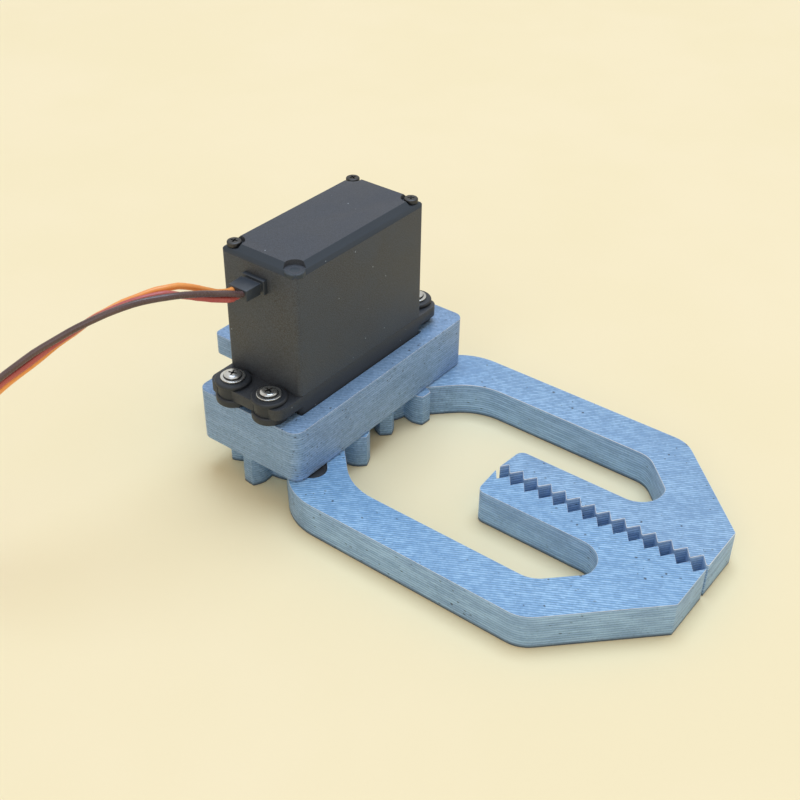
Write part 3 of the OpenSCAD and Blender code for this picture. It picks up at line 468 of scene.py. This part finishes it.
# floor, world and lamps
studio = {
    "floor": (0.955, 0.87, 0.585), "patch": (0.985, 0.985, 0.96), "size": 6.0,
    "backdrop": (0.92, 0.89, 0.82), "ambient": 0.6, "warmth": (1.0, 0.8, 0.63), "aim": (0.03, 0, 0),
    "lamps": {
        "keyLamp": {"place": (-0.1, 0.5, 2.2), "size": (1.6, 1.2),
                    "power": 33.3, "tint": (0.6, 0.765, 1.0)},
        "frontLamp": {"place": (0.35, -1.1, 0.8), "size": (1.0, 0.8),
                      "power": 3.0, "tint": (0.75, 0.88, 1.0)},
    },
}


def makeFloor():
    bpy.ops.mesh.primitive_plane_add(size=studio["size"], location=(0, 0, floorZ * mm))
    floor = bpy.context.object
    floor.name = "floor"
    material, tree, shader, coords, point = newMaterial("tabletop")
    mottle = noise(tree, point, 0.012, 3.0, 0.6)
    fibre = noise(tree, point, 0.5, 3.0, 0.6)
    patch = tuple(c * share for c, share in zip(studio["floor"], studio["patch"]))
    tone = blendColours(tree, ramp(tree, mottle, 0.35, 0.65), studio["floor"] + (1,), patch + (1,))
    feed(tree, shader.inputs["Base Color"], tone)
    shader.inputs["Roughness"].default_value = 0.75
    shader.inputs["Specular IOR Level"].default_value = 0.2
    addBump(tree, shader, fibre, 0.03 * mm)
    floor.data.materials.append(material)
    bpy.ops.object.select_all(action="DESELECT")


def addLamp(name, lampSet):
    data = bpy.data.lights.new(name, "AREA")
    data.shape = "RECTANGLE"
    data.size, data.size_y = lampSet["size"]
    data.energy = lampSet["power"]
    data.color = lampSet["tint"]
    lamp = bpy.data.objects.new(name, data)
    bpy.context.scene.collection.objects.link(lamp)
    along = Vector(studio["aim"]) - Vector(lampSet["place"])
    turn = along.to_track_quat("-Z", "Y").to_matrix().to_4x4()
    lamp.matrix_world = Matrix.Translation(lampSet["place"]) @ turn


def makeWorld():
    world = bpy.data.worlds.new("studio")
    bpy.context.scene.world = world
    world.use_nodes = True
    tree = world.node_tree
    light = tree.nodes["Background"]
    light.inputs["Color"].default_value = studio["warmth"] + (1,)
    light.inputs["Strength"].default_value = studio["ambient"]
    seen = nodeIn(tree, "ShaderNodeBackground")
    seen.inputs["Color"].default_value = studio["backdrop"] + (1,)
    rays = nodeIn(tree, "ShaderNodeLightPath")
    direct = calc(tree, "MAXIMUM", rays.outputs["Is Camera Ray"], rays.outputs["Is Transmission Ray"])
    direct = calc(tree, "MAXIMUM", direct, rays.outputs["Is Glossy Ray"])
    both = nodeIn(tree, "ShaderNodeMixShader")
    feed(tree, both.inputs[0], direct)
    tree.links.new(light.outputs[0], both.inputs[1])
    tree.links.new(seen.outputs[0], both.inputs[2])
    tree.links.new(both.outputs[0], tree.nodes["World Output"].inputs["Surface"])


makeFloor()
makeWorld()
for name, lampSet in studio["lamps"].items():
    addLamp(name, lampSet)
print("studio made")


def pick(piece):
    bpy.ops.object.select_all(action="DESELECT")
    piece.select_set(True)
    bpy.context.view_layer.objects.active = piece


def applyModifier(piece, kind, **settings):
    made = piece.modifiers.new(kind.lower(), kind)
    for key, value in settings.items():
        setattr(made, key, value)
    pick(piece)
    bpy.ops.object.modifier_apply(modifier=made.name)


def roundEdges(piece, width, segments=3, angle=35):
    applyModifier(piece, "BEVEL", width=width * mm, segments=segments, limit_method="ANGLE",
                  angle_limit=math.radians(angle), use_clamp_overlap=True)


def smoothFaces(piece, angle):
    pick(piece)
    bpy.ops.object.shade_smooth_by_angle(angle=math.radians(angle))


def backToObject():
    bpy.ops.object.mode_set(mode="OBJECT")


def editFaces(piece, wanted):
    # leaves the piece in edit mode with the wanted faces selected
    pick(piece)
    bpy.ops.object.mode_set(mode="EDIT")
    bpy.ops.mesh.select_mode(type="FACE")
    bpy.ops.mesh.select_all(action="DESELECT")
    backToObject()
    for face in piece.data.polygons:
        face.select = bool(wanted(face.center / mm, face.normal))
    bpy.ops.object.mode_set(mode="EDIT")


def raiseFace(inset, height):
    bpy.ops.mesh.inset(thickness=inset * mm, use_even_offset=True)
    bpy.ops.transform.translate(value=(0, 0, height * mm))


def settle(piece):
    # the place goes into the mesh, and the object stays at the origin
    pick(piece)
    bpy.ops.object.transform_apply(location=True, rotation=True, scale=True)


def addBlock(middle, size):
    bpy.ops.mesh.primitive_cube_add(size=1, location=Vector(middle) * mm, scale=Vector(size) * mm)
    block = bpy.context.object
    settle(block)
    return block


def addDisc(radius, low, high, sides):
    # an upright disc round the origin
    bpy.ops.mesh.primitive_cylinder_add(vertices=sides, radius=radius * mm, depth=(high - low) * mm,
                                        location=(0, 0, (low + high) / 2 * mm))
    disc = bpy.context.object
    settle(disc)
    return disc


def carve(piece, tool, operation="DIFFERENCE"):
    # cuts with the tool, or keeps only what lies inside it, and throws the tool away
    applyModifier(piece, "BOOLEAN", operation=operation, object=tool, solver="EXACT")
    bpy.data.objects.remove(tool)


def finishPiece(piece, name, body, slotName, material, *replaced):
    piece.name = name
    piece.data.name = name
    piece.data.materials.clear()
    piece.data.materials.append(material)
    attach(piece, body)
    if replaced:
        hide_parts(*replaced)
    piece.select_set(False)
    return piece


def copyNode(name):
    # a node's own shape, merged, so that its edges can be rounded
    piece = bpy.data.objects.new(name + "Copy", nodes[name].data.copy())
    bpy.context.scene.collection.objects.link(piece)
    piece.data.polygons.foreach_set("use_smooth", [False] * len(piece.data.polygons))
    pick(piece)
    bpy.ops.object.mode_set(mode="EDIT")
    bpy.ops.mesh.select_all(action="SELECT")
    bpy.ops.mesh.remove_doubles(threshold=0.003 * mm)
    bpy.ops.mesh.customdata_custom_splitnormals_clear()
    bpy.ops.mesh.dissolve_limited(angle_limit=math.radians(0.6))
    backToObject()
    return piece


def copyTo(piece, place, turn=0.0):
    # a copy with its own mesh, moved and turned about the vertical
    twin = piece.copy()
    twin.data = piece.data.copy()
    bpy.context.scene.collection.objects.link(twin)
    twin.data.transform(Matrix.Translation(Vector(place) * mm) @ Matrix.Rotation(math.radians(turn), 4, "Z"))
    return twin


# the lead: three wires from the strain relief, over the surface, once round and into the plug
lead = {
    "exit": (18.4, -29.0, 27.5),
    "route": [(18.4, -29, 27.5), (18.2, -33, 29.1), (17.3, -38.5, 31.2), (15.3, -44, 32.7),
              (12.2, -49.5, 32.5), (8.7, -55, 30.8), (5, -60.5, 28), (1.2, -66, 24), (-2.8, -71.5, 19),
              (-7, -77, 12.8), (-10.2, -81.3, 5.8), (-12.8, -84.8, -1.4), (-14.6, -87.1, -6.8),
              (-16, -89, -11.9), (-17.2, -90.6, -14.2), (-19, -92.9, -16), (-21, -95.7, -16.5),
              (-22.9, -98.3, -16.5)],
    "coilRadius": 19.5,
    "coilHeading": -126.0,
    "coilTurn": 504.0,
    "coilSteps": 52,
    "flatZ": floorZ + 0.7,
    # the first part lies over the last part of the turn: how high, how soon, and where it comes down
    "overlapLift": 1.7,
    "overlapBy": 40,
    "downFrom": 150,
    "downOver": 100,
    "plugRise": 30,
    "tail": 24.0,
    "tucked": 1.2,
    "plugZ": floorZ + 1.4,
    "wireRadius": 0.65,
    "sides": 12,
    "length": 0.30,
    "width": 3.9,
    # how far along, then each wire's place to the side and upwards
    "lay": [
        (0, {"brown": (1.3, 0.1), "red": (0.2, -0.5), "orange": (-1.3, 0.1)}),
        (2.5, {"brown": (1.2, 0.4), "red": (0.8, -0.9), "orange": (-1.3, -0.2)}),
        (4.5, {"brown": (1.1, 0.5), "red": (0.7, -0.85), "orange": (-1.4, -0.2)}),
        (7, {"brown": (1.1, 0.5), "red": (0.6, -0.75), "orange": (-1.6, 0.2)}),
        (10, {"brown": (1.1, 0.6), "red": (0.3, -0.5), "orange": (-2.0, 0.6)}),
        (13, {"brown": (1.1, 0.5), "red": (0.0, -0.2), "orange": (-2.1, 0.8)}),
        (16.5, {"brown": (1.2, 0.4), "red": (-0.3, 0.3), "orange": (-1.9, 0.5)}),
        (23, {"brown": (1.1, 0.5), "red": (-0.3, 0.2), "orange": (-1.5, 0.0)}),
        (29, {"brown": (1.1, 0.6), "red": (-0.2, 0.1), "orange": (-1.3, -0.4)}),
        (36, {"brown": (1.0, 0.7), "red": (0.1, -0.3), "orange": (-0.9, -1.1)}),
        (44, {"brown": (0.7, 1.0), "red": (0.2, -0.4), "orange": (-0.6, -1.4)}),
        (52, {"brown": (0.6, 1.2), "red": (-0.1, -0.1), "orange": (-0.7, -1.2)}),
        (75, {"brown": (1.1, 0.5), "red": (0.0, 0.0), "orange": (-1.2, -0.5)}),
        (100, {"brown": (1.3, 0.0), "red": (0.0, 0.0), "orange": (-1.3, 0.0)}),
        (288, {"brown": (1.3, 0.0), "red": (0.0, 0.0), "orange": (-1.3, 0.0)}),
        (297, {"brown": (2.5, 0.0), "red": (0.0, 0.0), "orange": (-2.5, 0.0)}),
        (310, {"brown": (2.5, 0.0), "red": (0.0, 0.0), "orange": (-2.5, 0.0)}),
    ],
}


def curveThrough(points, steps):
    # a smooth line through the points, steps samples for each stretch
    line = []
    for i in range(len(points) - 1):
        before = Vector(points[max(i - 1, 0)])
        start, end = Vector(points[i]), Vector(points[i + 1])
        after = Vector(points[min(i + 2, len(points) - 1)])
        for k in range(steps):
            t = k / steps
            line.append(0.5 * (2 * start + (end - before) * t
                               + (2 * before - 5 * start + 4 * end - after) * t * t
                               + (3 * start - before - 3 * end + after) * t * t * t))
    line.append(Vector(points[-1]))
    return line


def easeBetween(a, b, t):
    t = min(max(t, 0.0), 1.0)
    return a + (b - a) * t * t * (3 - 2 * t)


def leadLine():
    line = curveThrough(lead["route"], 2)
    last = line[-1]
    radius, heading = lead["coilRadius"], math.radians(lead["coilHeading"])
    centre = Vector((last.x + radius * math.sin(heading), last.y - radius * math.cos(heading), 0))
    start = lead["coilHeading"] + 90
    for k in range(1, lead["coilSteps"] + 1):
        swept = lead["coilTurn"] * k / lead["coilSteps"]
        angle = math.radians(start - swept)
        z = easeBetween(last.z, lead["flatZ"] + lead["overlapLift"], swept / lead["overlapBy"])
        z = easeBetween(z, lead["flatZ"], (swept - lead["downFrom"]) / lead["downOver"])
        z = easeBetween(z, lead["plugZ"], (swept - lead["coilTurn"]) / lead["plugRise"] + 1)
        line.append(Vector((centre.x + radius * math.cos(angle), centre.y + radius * math.sin(angle), z)))
    away = math.radians(start - lead["coilTurn"] - 90)
    tip = line[-1]
    for k in (0.25, 0.5, 0.75, 1.0):
        line.append(tip + Vector((math.cos(away), math.sin(away), 0)) * lead["tail"] * k)
    return line, math.degrees(away)


def layAt(distance, name):
    keys = lead["lay"]
    for (a, first), (b, second) in zip(keys, keys[1:]):
        if distance <= b:
            t = (distance - a) / (b - a)
            return tuple(easeBetween(p, q, t) for p, q in zip(first[name], second[name]))
    return keys[-1][1][name]


def makeLead():
    line, away = leadLine()
    fine = curveThrough([tuple(p) for p in line], 2)
    fine[0] = fine[0] + Vector((0, lead["tucked"], 0))  # the wires start inside the strain relief
    sides = lead["sides"]
    verts, faces, kinds = [], [], []
    for kind, name in enumerate(wireMaterials):
        distance, first = 0.0, len(verts)
        for i, here in enumerate(fine):
            if i:
                distance += (here - fine[i - 1]).length
            ahead = (fine[min(i + 1, len(fine) - 1)] - fine[max(i - 1, 0)]).normalized()
            side = Vector((-ahead.y, ahead.x, 0)).normalized()
            up = ahead.cross(side)
            across, lift = layAt(distance - lead["tucked"], name)
            middle = here + side * across + up * lift
            for k in range(sides):
                a = math.tau * k / sides
                verts.append((middle + (side * math.cos(a) + up * math.sin(a)) * lead["wireRadius"]) * mm)
            if i:
                low = first + (i - 1) * sides
                for k in range(sides):
                    nextK = (k + 1) % sides
                    faces.append((low + k, low + nextK, low + sides + nextK, low + sides + k))
                    kinds.append(kind)
        end = len(verts) - sides
        faces.append(tuple(first + k for k in reversed(range(sides))))
        faces.append(tuple(end + k for k in range(sides)))
        kinds += [kind, kind]
    mesh = bpy.data.meshes.new("leadWires")
    mesh.from_pydata(verts, [], faces)
    piece = bpy.data.objects.new("leadWires", mesh)
    bpy.context.scene.collection.objects.link(piece)
    for material in wireMaterials.values():
        mesh.materials.append(material)
    mesh.polygons.foreach_set("material_index", kinds)
    pick(piece)
    bpy.ops.object.mode_set(mode="EDIT")
    bpy.ops.mesh.select_all(action="SELECT")
    bpy.ops.mesh.normals_make_consistent(inside=False)
    backToObject()
    smoothFaces(piece, 60)
    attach(piece, "frame")
    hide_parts("lead", "lead_coil", "lead_tail")
    return piece, line, away


leadPiece, leadPath, tailHeading = makeLead()
print("lead made:", len(leadPath), "points")

plug = {"length": 14.0, "width": 7.8, "height": 2.8, "pitch": 2.54, "round": 0.25,
        "slot": 1.4, "slotShare": 0.7, "window": (1.3, 2.6, 1.2), "windowFrom": 4.2,
        "wireHole": (1.35, 1.5), "ridge": (0.6, 0.35, 0.7), "ridgeFrom": 0.3}


def makePlug():
    # lies along -Y with its wire end at the origin, and is turned into place at the end
    length, width, height = plug["length"], plug["width"], plug["height"]
    piece = addBlock((0, -length / 2, 0), (width, length, height))
    roundEdges(piece, plug["round"])
    slot, slotReach = plug["slot"], 2 * length * plug["slotShare"]
    hole, holeReach = plug["wireHole"]
    for k in (-1, 0, 1):
        x = k * plug["pitch"]
        carve(piece, addBlock((x, -length, 0), (slot, slotReach, slot)))
        # a window shows the contact's tongue
        carve(piece, addBlock((x, -plug["windowFrom"], height / 2), plug["window"]))
        carve(piece, addBlock((x, 0, 0), (hole, 2 * holeReach, hole)))
    ridgeWidth, ridgeShare, ridgeDepth = plug["ridge"]
    for side in (-1, 1):
        carve(piece, addBlock((side * width / 2, -length * plug["ridgeFrom"], -height / 2),
                              (ridgeWidth, length * ridgeShare, ridgeDepth)))
    tip = leadPath[-1]
    piece.data.transform(Matrix.Translation(Vector((tip.x, tip.y, lead["plugZ"])) * mm)
                         @ Matrix.Rotation(math.radians(tailHeading + 90), 4, "Z"))
    smoothFaces(piece, 30)
    return finishPiece(piece, "plugShell", "frame", "plug", moulded["plugPlastic"], "plug_housing")


plugPiece = makePlug()
print("plug made")

# printed bracket and jaws, with a bevel on every rim as wide as the teeth leave room for
printed = {"round": 0.25, "bodies": {"bracket": "frame", "drive_jaw": "drive", "idler_jaw": "idler"}}
for nodeName, body in printed["bodies"].items():
    piece = copyNode(nodeName)
    roundEdges(piece, printed["round"], angle=40)
    smoothFaces(piece, 32)
    finishPiece(piece, nodeName + "Print", body, "printed", printFinishes[nodeName], nodeName)
print("printed pieces made")

# servo shell
shellPieces = {
    "gear_case": {"round": 0.45, "material": "flangePlastic"},
    "mid_case": {"round": 0.3, "material": "servoPlastic"},
    "base_cover": {"round": 0.2, "material": "topPlastic"},
}
coverBevel = {"width": 1.7, "slack": 0.02}


def bevelledBlock(nodeName):
    # a block over the node's box, with a wide bevel round its top
    low, high, middle = boxOf(nodeName)
    size = high - low + Vector((2, 2, 2)) * coverBevel["slack"]
    width = coverBevel["width"]
    rise = Vector((0, 0, width))
    block = addBlock(middle - rise / 2, size - rise)
    editFaces(block, lambda c, n: n.z > 0.99)
    bpy.ops.mesh.extrude_region_move(TRANSFORM_OT_translate={"value": rise * mm})
    bpy.ops.transform.resize(value=(1 - 2 * width / size.x, 1 - 2 * width / size.y, 1),
                             center_override=middle * mm)
    backToObject()
    return block


for nodeName, shell in shellPieces.items():
    piece = copyNode(nodeName)
    if nodeName == "base_cover":
        carve(piece, bevelledBlock(nodeName), "INTERSECT")
    roundEdges(piece, shell["round"], angle=30)
    smoothFaces(piece, 35)
    finishPiece(piece, nodeName + "Shell", "frame", "servo_case", moulded[shell["material"]], nodeName)

# strain relief: a collar against the case, a ring groove and a plain block round the wires
relief = {"length": 5.3, "collar": (5.8, 3.2), "collarEnd": 1.0, "groove": (4.4, 1.9), "grooveEnd": 1.5,
          "block": (5.0, 2.5), "taper": 0.95, "root": 1.2, "round": 0.2}


def makeStrainRelief():
    low, high, middle = boxOf("strain_relief")
    caseY = low.y + relief["length"]
    rootMiddle = (middle.x, caseY + (relief["root"] - relief["collarEnd"]) / 2, middle.z)
    collarX, collarZ = relief["collar"]
    piece = addBlock(rootMiddle, (collarX, relief["root"] + relief["collarEnd"], collarZ))
    editFaces(piece, lambda c, n: n.y < -0.99)
    widths, place = relief["collar"], caseY - relief["collarEnd"]
    steps = ((relief["groove"], caseY - relief["grooveEnd"]), (relief["block"], low.y))
    for newWidths, newPlace in steps:
        bpy.ops.mesh.extrude_region_move(TRANSFORM_OT_translate={"value": (0, 0, 0)})
        bpy.ops.transform.resize(value=(newWidths[0] / widths[0], 1, newWidths[1] / widths[1]),
                                 center_override=middle * mm)
        bpy.ops.mesh.extrude_region_move(TRANSFORM_OT_translate={"value": (0, (newPlace - place) * mm, 0)})
        widths, place = newWidths, newPlace
    bpy.ops.transform.resize(value=(relief["taper"], 1, relief["taper"]), center_override=middle * mm)
    backToObject()
    roundEdges(piece, relief["round"])
    smoothFaces(piece, 35)
    finishPiece(piece, "strainReliefBlock", "frame", "servo_case", moulded["reliefPlastic"],
                "strain_relief")


makeStrainRelief()
print("servo shell made")

# screws with a washer under a low dome, as hold the servo's flange
flangeScrew = {
    "spacing": (10.0, 49.0), "underHead": 5.3, "washer": (2.6, 0.5), "washerRound": 0.14,
    # the ring at the dome's foot, then four steps that flatten towards the top: how far in and up
    "dome": (1.87, 0.7), "ring": (0.3, 0.16),
    "domeSteps": ((0.02, 0.32), (0.16, 0.2), (0.3, 0.12), (0.5, 0.06)),
    "shank": (1.4, 13.0), "tip": 0.8, "cross": (1.25, 0.75), "turns": (20, 75, 40, 5),
    "recessShadeSlope": 0.55, "recessShadeRing": 0.2,
}
crossShape = {"arm": 0.42, "foot": (0.5, 0.6, 1.0)}


def flangeHole(corner, z):
    # where a screw stands in its grommet
    (sx, sy), (gapX, gapY) = corner, flangeScrew["spacing"]
    return servoX + sx * gapX / 2, servoY + sy * gapY / 2, z


def cutCross(piece, size, top):
    reach, depth = size
    for turn in (0, 90):
        cutter = addBlock((0, 0, top), (2 * reach, reach * crossShape["arm"], 2 * depth))
        editFaces(cutter, lambda c, n: n.z < -0.9)
        bpy.ops.transform.resize(value=crossShape["foot"])
        backToObject()
        cutter.data.transform(Matrix.Rotation(math.radians(turn), 4, "Z"))
        carve(piece, cutter)


def addShank(piece, headRadius, shank, tip):
    # drawn down from the middle of the head's lower face
    radius, length = shank
    editFaces(piece, lambda c, n: n.z < -0.99 and c.z < 0.01)
    bpy.ops.mesh.inset(thickness=(headRadius - radius) * mm)
    bpy.ops.mesh.extrude_region_move(TRANSFORM_OT_translate={"value": (0, 0, -length * mm)})
    bpy.ops.transform.resize(value=(tip, tip, 1.0), center_override=(0, 0, 0))
    backToObject()


def makeFlangeScrew():
    radius, height = flangeScrew["washer"]
    piece = addDisc(radius, 0.0, height, 48)
    roundEdges(piece, flangeScrew["washerRound"])
    editFaces(piece, lambda c, n: n.z > 0.99 and c.z > height - 0.01)
    raiseFace(radius - flangeScrew["dome"][0] - flangeScrew["ring"][0], 0.0)
    raiseFace(flangeScrew["ring"][1], 0.0)
    for inset, rise in flangeScrew["domeSteps"]:
        raiseFace(inset, rise)
    backToObject()
    addShank(piece, radius - flangeScrew["washerRound"], flangeScrew["shank"], flangeScrew["tip"])
    cutCross(piece, flangeScrew["cross"], height + flangeScrew["dome"][1])
    smoothFaces(piece, 32)
    return piece


screwModel = makeFlangeScrew()


def takesRecessShade(face):
    # painted shade in the cross and round the foot of the dome
    above = face.center.z / mm - flangeScrew["washer"][1]
    if above > 0.02:
        return face.normal.z < flangeScrew["recessShadeSlope"]
    ringRadius = flangeScrew["dome"][0] + flangeScrew["recessShadeRing"]
    return above > -0.02 and face.center.xy.length / mm < ringRadius


recessShadeFaces = [face.index for face in screwModel.data.polygons if takesRecessShade(face)]
for index, corner in enumerate(fourCorners):
    twin = copyTo(screwModel, flangeHole(corner, flangeScrew["underHead"]), flangeScrew["turns"][index])
    finishPiece(twin, "flangeScrew%d" % index, "frame", "steel", metals["zincSteel"], "flange_screws")
    twin.data.materials.append(metals["recessShadeSteel"])
    for face in recessShadeFaces:
        twin.data.polygons[face].material_index = 1
bpy.data.objects.remove(screwModel)

# rubber grommets: a thick disc below the flange, a thin one above it, and the neck between
grommet = {"radius": 3.8, "low": 1.8, "neck": 3.3, "seam": 4.3, "up": 1.0, "hole": 1.97, "round": 0.42,
           "lap": 0.01, "turn": 40}


def makeRing(radius, low, high, soft):
    piece = addDisc(radius, low, high, 56)
    if soft:
        roundEdges(piece, soft, 4)
    editFaces(piece, lambda c, n: abs(n.z) > 0.99 and abs(c.xy.length) < 0.1)
    bpy.ops.mesh.inset(thickness=(radius - soft - grommet["hole"]) * mm)
    bpy.ops.mesh.bridge_edge_loops()
    backToObject()
    return piece


def makeGrommet():
    radius, low, seam, lap = grommet["radius"], grommet["low"], grommet["seam"], grommet["lap"]
    parts = [makeRing(radius, 0.0, low, grommet["round"]),
             makeRing(grommet["neck"], low - lap, seam + lap, 0.0),
             makeRing(radius, seam, seam + grommet["up"], grommet["round"])]
    bpy.ops.object.select_all(action="DESELECT")
    for part in parts:
        part.select_set(True)
    bpy.context.view_layer.objects.active = parts[0]
    bpy.ops.object.join()
    smoothFaces(parts[0], 45)
    return parts[0]


grommetModel = makeGrommet()
for index, corner in enumerate(fourCorners):
    twin = copyTo(grommetModel, flangeHole(corner, 0.0), grommet["turn"] * index)
    finishPiece(twin, "grommet%d" % index, "frame", "rubber", moulded["blackRubber"], "grommets")
bpy.data.objects.remove(grommetModel)
print("flange screws and grommets made")

# black cross-head screws in the corners of the servo's cover; one sits low, with its head filled
coverScrew = {"reach": (7.9, 18.4), "headZ": 32.4, "head": (1.5, 1.1), "headRound": 0.3,
              "shank": (0.95, 30.5), "cross": (1.0, 0.7), "turns": (15, 50, 70, 35),
              "sunkOne": 1, "sink": 1.12, "sunkRadius": 2.1}


def makeCoverScrew(sunk):
    radius, height = coverScrew["head"]
    if sunk:
        radius = coverScrew["sunkRadius"]
    piece = addDisc(radius, 0.0, height, 40)
    roundEdges(piece, coverScrew["headRound"], 4)
    addShank(piece, radius - coverScrew["headRound"], coverScrew["shank"], 1.0)
    if not sunk:
        cutCross(piece, coverScrew["cross"], height)
    smoothFaces(piece, 32)
    return piece


coverModels = {True: makeCoverScrew(True), False: makeCoverScrew(False)}
for index, (sx, sy) in enumerate(fourCorners):
    sunk = index == coverScrew["sunkOne"]
    place = (servoX + sx * coverScrew["reach"][0], servoY + sy * coverScrew["reach"][1],
             coverScrew["headZ"] - (coverScrew["sink"] if sunk else 0.0))
    twin = copyTo(coverModels[sunk], place, coverScrew["turns"][index])
    finish = moulded["filledPlastic"] if sunk else metals["blackSteel"]
    finishPiece(twin, "coverScrew%d" % index, "frame", "black_steel", finish, "cover_screws")
for model in coverModels.values():
    bpy.data.objects.remove(model)
print("cover screws made")

# horn, its bolt and screws, and the idler's bolt, washer and nut
smallPieces = {
    "servo_horn": ("drive", "horn", moulded["hornPlastic"], 0.2),
    "horn_bolt": ("drive", "steel", metals["zincSteel"], 0.18),
    "horn_screws": ("drive", "steel", metals["zincSteel"], 0.12),
    "pivot_bolt": ("frame", "steel", metals["zincSteel"], 0.2),
    "pivot_washer": ("frame", "steel", metals["zincSteel"], 0.12),
    "pivot_nut": ("frame", "steel", metals["zincSteel"], 0.25),
}
for nodeName, (body, slotName, material, width) in smallPieces.items():
    piece = copyNode(nodeName)
    roundEdges(piece, width, 2, 40)
    smoothFaces(piece, 32)
    finishPiece(piece, nodeName + "Fine", body, slotName, material, nodeName)

# what lies inside the servo keeps its shape and gets its own finish
innerFinishes = (
    (metals["gearBrass"], ("motor_shaft", "gear_1", "gear_2", "gear_3", "output_shaft", "eyelets",
                           "plug_contacts")),
    (metals["motorSteel"], ("motor", "middle_pin", "output_bearing")),
    (moulded["sensorGreen"], ("potentiometer",)),
    (moulded["boardGreen"], ("control_board",)),
    (moulded["chipPlastic"], ("board_chips",)),
)
for material, nodeNames in innerFinishes:
    for nodeName in nodeNames:
        nodes[nodeName].data.materials.clear()
        nodes[nodeName].data.materials.append(material)
print("inner finishes set")
